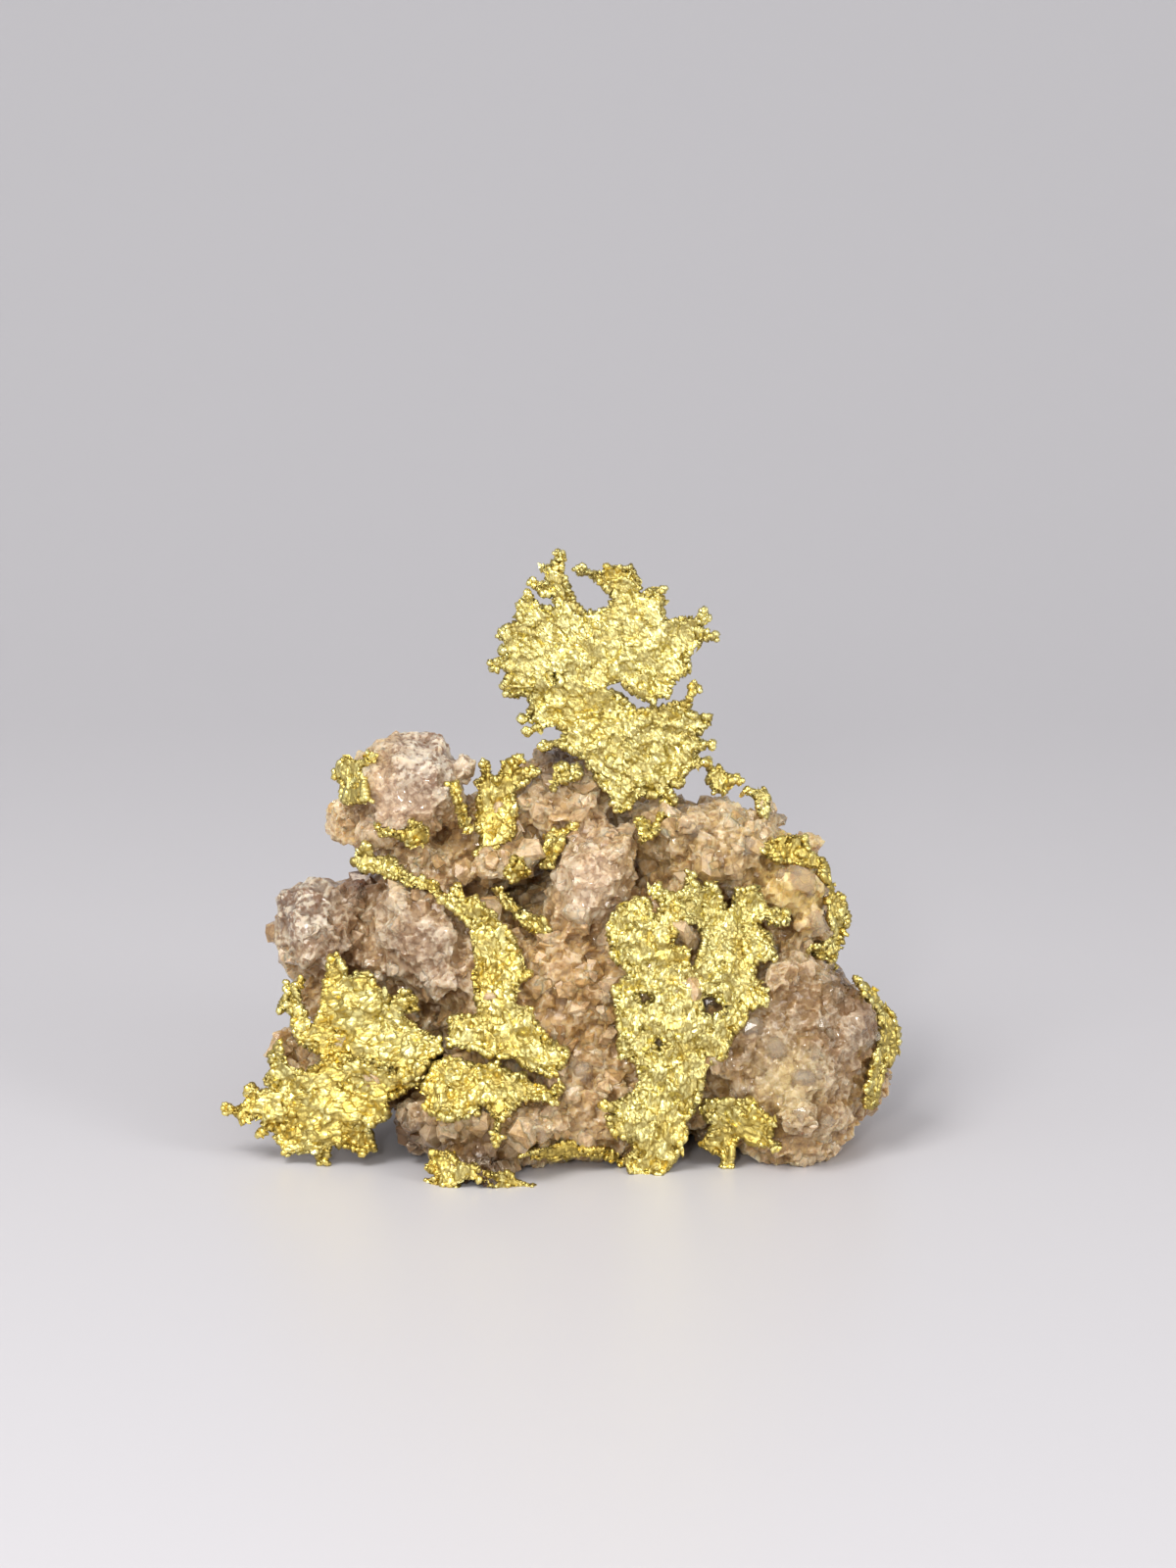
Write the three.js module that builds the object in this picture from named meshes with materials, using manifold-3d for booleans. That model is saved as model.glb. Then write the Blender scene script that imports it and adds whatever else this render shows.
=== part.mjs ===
// Leaf gold specimen: crystallised gold leaves grown on a lump of granular quartz.
// Millimetres, +Z up. The origin is the middle of the underside of the bounding box.
//
// The pieces are laid out in a sight frame, square to the line of sight of the specimen's best face:
// X to the right, Y away from the viewer and Z up in the picture. That line looks down by SIGHT_TILT,
// so the finished group is turned by that angle to stand upright on its cut base.
import * as THREE from "three";
import { ConvexGeometry } from "three/addons/geometries/ConvexGeometry.js";
import { mergeVertices } from "three/addons/utils/BufferGeometryUtils.js";
import Module from "manifold-3d";

const wasm = await Module();
wasm.setup();

// Driving dimensions
const SIGHT_TILT = THREE.MathUtils.degToRad(13);
const LEAF_THICKNESS = 0.33;
const CLEARANCE = 0.1; // between a leaf and what it lies on
const SHEET_STEP = 1.4; // spacing of the points that a leaf bends at
const SHEET_MARGIN = 0.4; // how far the sheet that a leaf is cut from reaches past it
const LEAST_BENDS = 3; // along the longer side of a small leaf
const CRINKLE = 0.15; // how far those points stray from a smooth sheet
const KNOB_RADIUS = [0.15, 0.25]; // octahedral knobs on the sharp tips of a leaf
const KNOB_ANGLE = THREE.MathUtils.degToRad(78); // a tip sharper than this ends in a knob
const LUMP_POINTS = 21; // corners of a quartz lump
const GRAIN_POINTS = 9; // and of a grain on it
const GRAIN_RADIUS = [0.4, 0.68]; // quartz grains that stand out of the lumps
const GRAINY_LUMP = 1.4; // a lump with a smaller half size than this has none
const GRAIN_SPACING = 3.7; // between grains on the same lump
const GRAIN_SEAT = [0.9, 1]; // how far out from the middle of its lump a grain sits, as a share
const GRAIN_HEIGHT = [0.8, 1.25]; // as a share of its radius
const BURIED = 1.03; // a grain that lies within this share of another lump is left out
const STRAY = 0.4; // how unevenly the corners of lumps and grains are spread
const BULGE = [1, 1.08]; // and how far out they lie, as a share of the half size
const TAUT_PASSES = 5; // smoothing of a leaf that is drawn over the quartz
const WELD = 1e-4; // corners closer than this are one
const REACH = 40; // longer than the specimen in any direction

const QUARTZ = new THREE.MeshStandardMaterial({ color: 0xa3836f, roughness: 0.45, metalness: 0 });
const GOLD = new THREE.MeshStandardMaterial({ color: 0xe3bd3b, roughness: 0.28, metalness: 1 });

// Quartz lumps: centre, half sizes and a turn in the picture, in the sight frame
const LUMPS = [
  { name: "core", at: [0.55, 1.4, 4.6], half: [5.45, 4.5, 4.8], turn: 0 },
  { name: "right_block", at: [6, 0.2, 2.95], half: [4, 3.95, 3.75], turn: 0 },
  { name: "right_heel", at: [6.55, -0.65, 1], half: [2.3, 2.85, 1.85], turn: 0 },
  { name: "right_shoulder", at: [3.95, -0.2, 9.25], half: [2.5, 2.3, 1.75], turn: -12 },
  { name: "honey_block", at: [6.55, -0.45, 8.05], half: [1.3, 1.3, 0.95], turn: -12 },
  { name: "honey_foot", at: [7.2, -0.55, 6.85], half: [0.75, 1.1, 0.8], turn: 10 },
  { name: "shoulder_back", at: [5.9, 1.55, 7.65], half: [2.2, 1.95, 2.3], turn: 0 },
  { name: "centre_ridge", at: [0.45, -1.65, 8.3], half: [1.3, 1.75, 2], turn: -28 },
  { name: "centre_body", at: [0, -0.45, 5], half: [2.3, 2.5, 3.05], turn: 0 },
  { name: "centre_right", at: [3.05, -0.55, 4.8], half: [2.3, 3.15, 4.35], turn: 5 },
  { name: "centre_low", at: [0.45, -1, 1.65], half: [2.85, 2.5, 2.3], turn: 0 },
  { name: "top_lump", at: [-0.45, 0, 10.6], half: [1.75, 1.65, 1.55], turn: 0 },
  { name: "top_crest", at: [-0.65, 1, 11.65], half: [1.2, 1.3, 0.75], turn: 0 },
  { name: "upper_left", at: [-5.3, -0.85, 11.15], half: [1.9, 1.95, 1.85], turn: -20 },
  { name: "upper_left_knob", at: [-7.2, -0.45, 10.2], half: [0.7, 0.85, 0.85], turn: 10 },
  { name: "upper_left_chin", at: [-6.2, -0.75, 9.65], half: [1, 1, 0.65], turn: -15 },
  { name: "neck", at: [-4.7, -0.1, 8.85], half: [1.85, 1.65, 0.85], turn: -8 },
  { name: "neck_rod", at: [-2.5, -1.3, 8.8], half: [1.55, 0.7, 0.5], turn: 14 },
  { name: "saddle", at: [-2.75, 0.45, 9.5], half: [1.65, 1.75, 1.75], turn: 0 },
  { name: "left_lump", at: [-8.15, 0.2, 6.7], half: [1.6, 1.85, 1.75], turn: 10 },
  { name: "left_lump_rim", at: [-7.1, 0.65, 7.7], half: [1.05, 1.3, 0.7], turn: 0 },
  { name: "left_wedge", at: [-4.8, -1.2, 6.45], half: [1.45, 1.95, 2.2], turn: 22 },
  { name: "left_gap_low", at: [-6.1, -0.65, 5.6], half: [0.8, 1, 0.85], turn: 0 },
  { name: "left_gap_high", at: [-6.8, -0.2, 6.1], half: [0.7, 0.85, 0.75], turn: 0 },
  { name: "left_core", at: [-4.7, 1, 6], half: [3.25, 2.6, 3.25], turn: 0 },
  { name: "left_foot", at: [-6.55, -0.2, 2.85], half: [2.05, 2.2, 2.05], turn: 0 },
  { name: "left_tooth", at: [-9.15, 0.1, 2.9], half: [0.55, 0.7, 0.85], turn: 8 },
  { name: "low_ledge", at: [-2.6, -1.8, 0.7], half: [3.25, 2.9, 1.35], turn: -5 },
  { name: "vein_seat", at: [-2.75, -1.1, 4.6], half: [1.65, 2.05, 3.25], turn: 0 },
  { name: "back_left", at: [-2.75, 4, 5.65], half: [3.1, 2.5, 3.4], turn: 12 },
  { name: "back_right", at: [2.85, 4.3, 6.2], half: [3.2, 2.5, 3.1], turn: -10 },
  { name: "back_block", at: [6, 3.4, 4], half: [2.6, 2.5, 3.1], turn: 0 },
  { name: "back_foot", at: [0.2, 4.3, 2.6], half: [4.8, 2.5, 2.6], turn: 0 },
  { name: "back_heel", at: [-5.45, 2.6, 3.7], half: [2.4, 2.1, 2.6], turn: -15 },
  { name: "back_top", at: [0.85, 2.6, 9.2], half: [2.5, 2, 2.05], turn: 0 },
  { name: "left_tooth_root", at: [-8.35, 0.2, 2], half: [1.05, 1, 0.75], turn: 0 },
  { name: "left_pocket", at: [-8.2, 0.3, 4.7], half: [0.75, 0.95, 0.95], turn: 15 },
  { name: "ledge_toe", at: [-3.1, -3.3, -0.45], half: [1.35, 1.15, 0.6], turn: 0 },
];

// Hollows that show dark between the lumps
const PITS = [
  { at: [2.2, -2.05, 10.65], half: [0.5, 1.3, 0.35], turn: 15 },
  { at: [-3.35, -1.55, 9.8], half: [0.25, 1.1, 0.2], turn: 0 },
  { at: [-6.45, -1.4, 7.35], half: [0.3, 0.8, 0.8], turn: 15 },
  { at: [-1.3, -3.5, 6.2], half: [0.45, 1.1, 1], turn: 15 },
];

// Gold leaves: outlines as seen, in the sight frame's X and Z. A leaf is drawn taut over the quartz behind
// it, held off by lift. One with a plane stands free instead, through the point at, and slope is how far
// it falls back for each millimetre to the right and each millimetre up. Curl bends its ends back.
const LEAVES = [
  {
    name: "crown_leaf",
    plane: { at: [1, -1.4, 11], slope: [0.06, 0] },
    outline: [
      [1.1, 10.45], [1, 10.85], [0.55, 11.4], [0.15, 12.05], [-0.35, 12.35], [-1, 12.45], [-0.5, 12.7],
      [-0.45, 13], [-0.85, 13.05], [-1.55, 12.85], [-1.2, 13.2], [-1.75, 13.3], [-1.45, 13.65], [-1.6, 14],
      [-2.25, 14], [-2.4, 14.3], [-2.15, 14.65], [-2.6, 14.95], [-2.3, 15.15], [-2.45, 15.45], [-2.25, 15.6],
      [-2.5, 15.8], [-2.45, 16.05], [-1.85, 16.3], [-1.95, 16.8], [-1.6, 17.25], [-1.1, 16.75], [-0.65, 16.8],
      [-0.8, 17.05], [-1.2, 17.2], [-1.45, 17.5], [-0.95, 17.55], [-1.15, 18], [-0.8, 18.1],
      [-0.6, 18.5], [-0.4, 18.35], [-0.45, 17.8], [-0.1, 17], [0.2, 16.6], [0.95, 16.7], [1, 17.15],
      [0.6, 17.5], [0.05, 17.9], [0.7, 17.85], [0.85, 18.05], [1.65, 18.05], [2, 17.5], [1.85, 17.15],
      [2.3, 17.4], [2.65, 17.35], [2.6, 16.8], [2.75, 16.35], [3.35, 16.45], [3.85, 16.45], [3.75, 16.2],
      [4.2, 15.85], [3.75, 15.6], [3.4, 15.2], [3.5, 14.8], [2.95, 14.4], [2.85, 13.95], [2.4, 13.9],
      [2.4, 13.65], [2.95, 13.8], [3.2, 13.75], [3.6, 14.25], [3.45, 13.45], [4.15, 13.4], [4.15, 13.1],
      [3.65, 12.75], [4.1, 12.5], [3.6, 12.2], [4, 11.95], [3.4, 11.65], [3.2, 11.2], [2.8, 11.25],
      [3.1, 10.6], [2.65, 10.45], [2.5, 10.85], [1.95, 10.9], [1.6, 10.45],
    ],
    holes: [
      [[0.8, 14.3], [1.25, 14.4], [1.6, 14.15], [1.85, 13.9], [2.25, 13.85], [2.25, 13.65], [1.85, 13.55],
        [1.3, 14.05]],
      [[-0.85, 14.65], [-0.7, 14.65], [-0.55, 14.4], [-0.7, 14.4]],
    ],
  },
  {
    name: "centre_leaf",
    outline: [
      [1.05, 7.35], [1.8, 7.85], [2.2, 7.7], [2.3, 7.1], [2.5, 7.35], [2.4, 8.05], [3.1, 7.9], [3.45, 8.5],
      [3.85, 8.05], [4.1, 8.25], [4.3, 8], [4.55, 7.35], [4.75, 7.6], [4.85, 8.05], [5.5, 8.15],
      [5.9, 7.45], [6.55, 7.35], [6.45, 7], [6.1, 6.85], [5.8, 7.1], [5.5, 7.05], [5.9, 6.6], [6.1, 5.9],
      [5.5, 5.8], [5.35, 5.35], [5.8, 4.95], [5.8, 4.45], [5.2, 4.35], [5.15, 4.05], [4.8, 3.7], [4.6, 3],
      [3.95, 2.55], [3.7, 1.55], [3.35, 0.85], [3.4, 0.45], [2.95, -0.4], [2.3, -1.05], [1.75, -1],
      [1.4, -0.35], [1.7, 0.2], [1.05, 0.55], [0.85, 1.05], [1.1, 1.25], [0.8, 1.45], [1.6, 1.8],
      [1.85, 2.2], [1.75, 2.75], [1.25, 2.95], [1.15, 4.25], [1.05, 5.05], [1.6, 5.5], [1.05, 5.9],
      [0.85, 6.85],
    ],
    holes: [
      [[2.95, 6.7], [3.25, 7.05], [3.65, 6.95], [3.8, 6.5], [3.7, 6.05], [3.5, 5.6], [3.35, 6.15],
        [2.85, 6.4]],
      [[3.8, 4.7], [4.1, 4.8], [4.6, 4.45], [4.2, 4.2], [3.8, 4.3]],
      [[1.75, 4.9], [2.05, 4.95], [2.25, 4.7], [1.95, 4.55]],
      [[2.4, 3.5], [2.65, 3.4], [2.55, 3.15], [2.35, 3.2]],
    ],
  },
  {
    name: "foot_leaf",
    lift: 0.15,
    outline: [
      [3.85, 1.65], [4.75, 1.6], [5.35, 1.65], [5.65, 1.25], [5.95, 0.95], [5.9, 0.45], [6.1, 0.15],
      [5.4, 0.15], [5, 0.4], [4.8, 0.1], [4.75, -0.65], [4.4, -0.65], [4.4, -0.2], [3.7, 0.1], [4.1, 0.8],
      [3.8, 1.15],
    ],
  },
  {
    name: "left_wing",
    plane: { at: [-7, -2.75, 1], slope: [-0.2, 0] },
    outline: [
      [-7.85, 2.9], [-6.75, 2.8], [-5, 2.4], [-4.8, 2.05], [-5.85, 1.55], [-5.8, 1.05], [-6.4, 0.7],
      [-6.25, 0], [-6.6, -0.1], [-7.65, 0.15], [-7.7, -0.45], [-8, -0.5], [-8.15, -0.1], [-9.05, -0.15],
      [-9.4, 0.35], [-9.4, 0.65], [-9.75, 0.5], [-9.8, 0.95], [-10.4, 0.75], [-10.85, 1.2], [-10.35, 1.3],
      [-10.3, 1.9], [-10.05, 2], [-9.85, 1.75], [-9.55, 1.85], [-9.75, 2.25], [-9.45, 2.45], [-9.6, 2.95],
      [-9.25, 3.25], [-8.95, 2.6], [-8.45, 2.4], [-8.05, 2.6],
    ],
  },
  {
    name: "left_fan",
    outline: [
      [-7.75, 5.5], [-7.7, 6], [-7.35, 6], [-7.1, 5.35], [-6.75, 5.5], [-6.4, 5.45], [-6.25, 5.15],
      [-5.9, 4.85], [-5.8, 4.6], [-5.3, 4.95], [-4.9, 4.75], [-4.95, 4.3], [-5.45, 4.2], [-4.95, 3.85],
      [-4.55, 3.6], [-4.2, 3.45], [-4.15, 3.1], [-4.5, 2.85], [-4.9, 2.3], [-5.65, 2.25],
      [-6.75, 2.6], [-7.65, 2.75], [-8.65, 3.25],
      [-8.85, 3.7], [-8.8, 4.15], [-9.25, 4.3], [-9, 5.05], [-8.6, 5.2], [-8.55, 4.55], [-8.25, 3.75],
      [-8, 4.35], [-7.9, 5.15],
    ],
  },
  {
    name: "apron_leaf",
    outline: [
      [-4.4, 2.7], [-3.7, 2.95], [-3.25, 2.7], [-2.5, 2.75], [-2.05, 2.4], [-1.65, 2.4], [-1.4, 2.15],
      [-0.85, 1.9], [-0.6, 2.25], [-0.4, 2.05], [-0.7, 1.55], [-1.65, 1.65], [-2.05, 1.25], [-2.35, 1.1],
      [-2.45, 0.5], [-2.6, 0.65], [-2.55, 1.1], [-2.95, 1.65], [-3, 1.25], [-3.4, 1.1], [-3.95, 1.05],
      [-4.75, 1.35], [-4.55, 1.75], [-4.8, 2.05],
    ],
  },
  {
    name: "middle_vein",
    outline: [
      [-4.2, 7.7], [-3.7, 8.05], [-3.6, 7.75], [-3.15, 7.85], [-2.75, 7.45], [-2.2, 6.85], [-1.85, 6.35],
      [-1.6, 5.65], [-1.4, 5.45], [-1.75, 5.2], [-1.95, 4.55], [-1.4, 4.4], [-1.25, 3.95], [-1, 3.55],
      [-0.25, 3.1], [-0.35, 2.8], [-0.75, 2.35], [-1.55, 2.55], [-1.8, 2.85], [-2.6, 2.95], [-3.15, 3.15],
      [-3.95, 3.25], [-4, 4.1], [-3.05, 4.25], [-3.25, 5.3], [-3.15, 5.8], [-3.35, 6.85], [-3.7, 7.3],
    ],
  },
  {
    name: "finger_leaf",
    lift: 0.55,
    outline: [
      [-2.45, 8], [-2.2, 7.9], [-1.75, 7.4], [-1.2, 7.15], [-1.05, 7.25], [-0.85, 6.75], [-1.05, 6.55],
      [-1.65, 6.85], [-2, 7.2], [-2.4, 7.65],
    ],
  },
  {
    name: "neck_strand",
    lift: 0.12,
    outline: [
      [-7, 8.85], [-6.85, 9.25], [-6.55, 9.45], [-6.35, 9.05], [-5.8, 9.05], [-5.35, 8.6], [-4.9, 8.35],
      [-4.45, 8.35], [-4.3, 7.9], [-4.9, 8.05], [-5.65, 8.3], [-6.1, 8.5], [-6.65, 8.55],
    ],
  },
  {
    name: "cheek_leaf",
    plane: { at: [-6.55, -2.55, 11.3], slope: [-1, 0] },
    outline: [
      [-7.6, 11.65], [-7.2, 12.15], [-6.85, 12], [-6.35, 12.1], [-6.6, 11.55], [-6.5, 10.8], [-7, 10.6],
      [-7.35, 10.85], [-7.3, 11.25],
    ],
  },
  {
    name: "lip_leaf",
    lift: 0.1,
    outline: [
      [-6.2, 9.95], [-5.35, 9.85], [-5.2, 10.2], [-4.9, 10.1], [-4.55, 9.75], [-4.7, 9.45], [-5.2, 9.5],
      [-5.55, 9.65], [-6.1, 9.65],
    ],
  },
  {
    name: "temple_leaf",
    outline: [
      [-4.1, 11.3], [-3.75, 11.4], [-3.6, 10.8], [-3.4, 10.25], [-3.4, 9.85], [-3.7, 10], [-3.8, 10.6],
    ],
  },
  {
    name: "saddle_leaf",
    plane: { at: [-2.5, -1.5, 10], slope: [0, 0.1] },
    outline: [
      [-3.2, 11.35], [-3, 11.45], [-3.05, 12], [-2.85, 12.05], [-2.65, 11.45], [-2.45, 11.5], [-2.4, 12],
      [-1.85, 12.05], [-1.9, 11.75], [-1.4, 11.65], [-1.55, 11.35], [-2, 11], [-1.9, 10.45], [-1.95, 9.6],
      [-2.55, 9.25], [-3.1, 9.1], [-3, 9.55], [-3.25, 10.05], [-3.1, 11],
    ],
  },
  {
    name: "brow_leaf",
    lift: 0.12,
    outline: [
      [-0.8, 11.9], [-0.55, 11.95], [-0.2, 11.75], [0, 11.85], [0.15, 11.55], [-0.1, 11.35], [-0.55, 11.3],
      [-0.8, 11.15], [-0.7, 11.5],
    ],
  },
  {
    name: "ridge_leaf",
    lift: 0.12,
    outline: [
      [-0.85, 9.85], [-0.15, 9.95], [-0.4, 9.65], [-0.65, 9.15], [-0.7, 8.75], [-1.1, 8.65], [-1.15, 9.25],
    ],
  },
  {
    name: "bridge_leaf",
    outline: [[-2, 9.05], [-1.75, 9], [-1.45, 8.6], [-1.65, 8.4], [-2.05, 8.25], [-2.3, 8.5]],
  },
  {
    name: "socket_leaf",
    lift: 0.12,
    outline: [[1.75, 10.15], [2, 10.25], [2.3, 10], [2.6, 10.3], [2.5, 9.85], [2.2, 9.55], [1.9, 9.45]],
  },
  {
    name: "shoulder_tuft",
    plane: { at: [4.4, -0.5, 11.3], slope: [0, 0.2] },
    outline: [
      [4, 11.4], [4.05, 11.8], [4.3, 11.85], [4.7, 11.55], [5, 11.4], [4.7, 11.25], [4.55, 10.95],
      [4.2, 11],
    ],
  },
  {
    name: "shoulder_knob",
    plane: { at: [5.6, -0.5, 10.6], slope: [0.3, 0.2] },
    outline: [[5.3, 11.05], [5.8, 11.15], [6.05, 10.85], [6, 10.55], [5.8, 10.2], [5.6, 10.45], [5.5, 10.75]],
  },
  {
    name: "shoulder_strip",
    plane: { at: [6.55, -1.55, 8.5], slope: [0.5, 0] },
    outline: [
      [5.6, 9.2], [5.9, 9.55], [6.75, 9.7], [7.1, 9.65], [7.25, 9.2], [7.6, 8.95], [7.9, 8.3], [8, 7.85],
      [8.3, 7.8], [8.45, 7], [8.3, 6.5], [8, 5.65], [8.15, 5.2], [7.75, 5], [7.45, 5.45], [7.1, 6.1],
      [7.45, 6.4], [7.75, 7], [7.7, 8.2], [7.45, 8.6], [6.45, 8.8], [5.85, 8.95],
    ],
  },
  {
    name: "rim_leaf",
    plane: { at: [8.85, -2.6, 3.2], slope: [1.75, 0.22], curl: 0.21 },
    outline: [
      [8.6, 5.2], [9.05, 4.9], [9.4, 4.45], [9.75, 4.15], [9.95, 3.6], [9.95, 3.05], [9.4, 2.2], [9.15, 1.2],
      [8.85, 1.25], [8.85, 1.85], [9.1, 2.4], [9.25, 3.25], [9.45, 3.7], [9.05, 4.05], [8.85, 4.6],
    ],
  },
  {
    name: "ledge_foil",
    outline: [
      [-1.7, 0], [-0.75, 0.25], [-0.2, 0.35], [0.1, 0.1], [0.75, 0.1], [1.2, -0.05], [1.3, -0.4],
      [0.65, -0.2], [-0.45, -0.15], [-1.2, -0.25],
    ],
  },
  {
    name: "base_foil",
    lift: 0.1,
    outline: [
      [-4.5, 0.1], [-4.6, -0.5], [-4.25, -0.6], [-4.6, -0.9], [-4.35, -1.1], [-4, -0.95], [-3.65, -1.05],
      [-3.5, -0.75], [-2.95, -0.75], [-2.75, -0.95], [-2.4, -1.1], [-2.2, -1.3], [-2.05, -1], [-1.7, -1.15],
      [-1.35, -1.2], [-1.3, -0.95], [-1.85, -0.75], [-2.15, -0.5], [-2.85, -0.5], [-3.1, -0.35],
      [-3.55, -0.2], [-4, 0.1],
    ],
  },
];

// A repeatable stream of numbers from 0 to 1
function randomFrom(seed) {
  let state = seed;
  return () => {
    state = (state * 1664525 + 1013904223) % 4294967296;
    return state / 4294967296;
  };
}

const between = ([low, high], share) => low + (high - low) * share;

const mean = (values) => values.reduce((sum, value) => sum + value, 0) / values.length;

// A closed geometry as a solid that can be joined and cut
function solidOf(geometry) {
  const bare = new THREE.BufferGeometry();
  bare.setAttribute("position", geometry.getAttribute("position"));
  if (geometry.index) bare.setIndex(geometry.index);
  const merged = mergeVertices(bare, WELD);
  return new wasm.Manifold(
    new wasm.Mesh({
      numProp: 3,
      vertProperties: merged.attributes.position.array,
      triVerts: new Uint32Array(merged.index.array),
    }),
  );
}

function geometryOf(solid) {
  const { vertProperties, triVerts } = solid.getMesh();
  const geometry = new THREE.BufferGeometry();
  geometry.setAttribute("position", new THREE.BufferAttribute(vertProperties, 3));
  geometry.setIndex(new THREE.BufferAttribute(triVerts, 1));
  return geometry;
}

function meshOf(name, solid, material) {
  const geometry = geometryOf(solid).toNonIndexed();
  geometry.computeVertexNormals();
  const mesh = new THREE.Mesh(geometry, material);
  mesh.name = name;
  return mesh;
}

const join = (solids) => solids.reduce((whole, solid) => whole.add(solid));

// The largest closed shell, without loose crumbs and hidden voids
const largestBody = (solid) =>
  solid.decompose().reduce((best, body) => (body.volume() > best.volume() ? body : best));

// Evenly spread directions on a sphere
function spreadDirections(count) {
  const golden = Math.PI * (3 - Math.sqrt(5));
  return Array.from({ length: count }, (_, i) => {
    const z = 1 - (2 * i + 1) / count;
    const r = Math.sqrt(1 - z * z);
    return new THREE.Vector3(r * Math.cos(golden * i), r * Math.sin(golden * i), z);
  });
}

// The matrix that places a unit ball as a lump, grown by swell on every side
function lumpMatrix({ at, half, turn = 0 }, swell = 0) {
  const turned = new THREE.Euler(0, -THREE.MathUtils.degToRad(turn), 0);
  const facing = new THREE.Quaternion().setFromEuler(turned);
  const size = new THREE.Vector3(...half).addScalar(swell);
  return new THREE.Matrix4().compose(new THREE.Vector3(...at), facing, size);
}

// A rough faceted lump: the hull of points scattered on an ellipsoid
function lumpSolid(lump, swell, seed, corners = LUMP_POINTS) {
  const random = randomFrom(seed);
  const place = lumpMatrix(lump, swell);
  const points = spreadDirections(corners).map((direction) => {
    const stray = new THREE.Vector3(random() - 0.5, random() - 0.5, random() - 0.5);
    direction.addScaledVector(stray, STRAY);
    return direction.setLength(between(BULGE, random())).applyMatrix4(place);
  });
  return solidOf(new ConvexGeometry(points));
}

// Places for grains on a lump, where no other lump buries them
function grainsOn(lump, seed) {
  if (Math.min(...lump.half) < GRAINY_LUMP) return [];
  const random = randomFrom(seed);
  const place = lumpMatrix(lump);
  const others = LUMPS.filter((other) => other !== lump).map((other) => lumpMatrix(other).invert());
  const open = (point) => others.every((inside) => point.clone().applyMatrix4(inside).length() > BURIED);
  const area = 4 * Math.PI * mean([0, 1, 2].map((k) => lump.half[k] * lump.half[(k + 1) % 3]));
  return spreadDirections(Math.round(area / GRAIN_SPACING ** 2))
    .map((direction) => direction.setLength(between(GRAIN_SEAT, random())).applyMatrix4(place))
    .filter(open)
    .map((point) => {
      const radius = between(GRAIN_RADIUS, random() ** 2);
      const half = [radius, radius, between(GRAIN_HEIGHT, random()) * radius];
      return { at: point.toArray(), half, turn: 180 * random(), seed: Math.floor(random() * 1e6) };
    });
}

function quartzSolid(swell = 0) {
  const lumps = LUMPS.map((lump, k) => lumpSolid(lump, swell, 100 + k));
  const grains = LUMPS.flatMap((lump, k) => grainsOn(lump, 500 + k));
  const grainSolids = grains.map((grain) => lumpSolid(grain, swell, grain.seed, GRAIN_POINTS));
  const pits = PITS.map((pit, k) => lumpSolid(pit, -swell, 900 + k));
  return largestBody(join([...lumps, ...grainSolids]).subtract(join(pits)).subtract(underground()));
}

// Everything below the surface that the specimen stands on
function underground() {
  const block = new THREE.BoxGeometry(2 * REACH, 2 * REACH, REACH);
  block.translate(0, 0, -REACH / 2);
  return solidOf(block.rotateX(SIGHT_TILT));
}

// How far back the quartz lies at a point of the picture, or undefined where there is none
function depthProbe(solid) {
  const mesh = new THREE.Mesh(geometryOf(solid), QUARTZ);
  const ray = new THREE.Raycaster();
  const away = new THREE.Vector3(0, 1, 0);
  return (x, z) => {
    ray.set(new THREE.Vector3(x, -REACH, z), away);
    return ray.intersectObject(mesh)[0]?.point.y;
  };
}

// A grid of points over a leaf's outline
function gridOver({ outline }) {
  const box = new THREE.Box2().setFromPoints(outline.map((point) => new THREE.Vector2(...point)));
  box.expandByScalar(SHEET_MARGIN);
  const size = box.getSize(new THREE.Vector2());
  const step = Math.min(SHEET_STEP, Math.max(size.x, size.y) / LEAST_BENDS);
  const columns = Math.ceil(size.x / step);
  const rows = Math.ceil(size.y / step);
  const points = [];
  for (let j = 0; j <= rows; j++) {
    for (let i = 0; i <= columns; i++) {
      const beside = [[i - 1, j], [i + 1, j], [i, j - 1], [i, j + 1]]
        .filter(([p, q]) => p >= 0 && q >= 0 && p <= columns && q <= rows)
        .map(([p, q]) => q * (columns + 1) + p);
      points.push({ x: box.min.x + (i * size.x) / columns, z: box.min.y + (j * size.y) / rows, beside });
    }
  }
  const nearest = (x, z) => {
    const i = Math.round((columns * (x - box.min.x)) / size.x);
    const j = Math.round((rows * (z - box.min.y)) / size.y);
    return j * (columns + 1) + i;
  };
  return { box, size, step, columns, rows, points, nearest };
}

// The depth of a leaf at each grid point: on its own plane, or drawn taut over the quartz
function leafDepths({ plane, lift = 0 }, { points, step }, depthOfQuartz) {
  if (plane) {
    const { at, slope, curl = 0 } = plane;
    return points.map(({ x, z }) => {
      const up = z - at[2];
      return at[1] + slope[0] * (x - at[0]) + slope[1] * up + curl * up ** 2;
    });
  }
  const reach = step / 2;
  const nearby = [[0, 0], [reach, 0], [-reach, 0], [0, reach], [0, -reach]];
  const offset = CLEARANCE + LEAF_THICKNESS / 2 + lift;
  const limits = points.map(({ x, z }) => {
    const found = nearby.map(([dx, dz]) => depthOfQuartz(x + dx, z + dz));
    return Math.min(...found.filter((depth) => depth !== undefined)) - offset;
  });
  const known = limits.filter(Number.isFinite);
  let depths = limits.map((limit) => (Number.isFinite(limit) ? limit : mean(known)));
  for (let pass = 0; pass < TAUT_PASSES; pass++) {
    depths = points.map(({ beside }, k) => {
      const pull = mean(beside.map((n) => depths[n]));
      return Math.min(limits[k], (pull + depths[k]) / 2);
    });
  }
  return depths;
}

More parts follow.
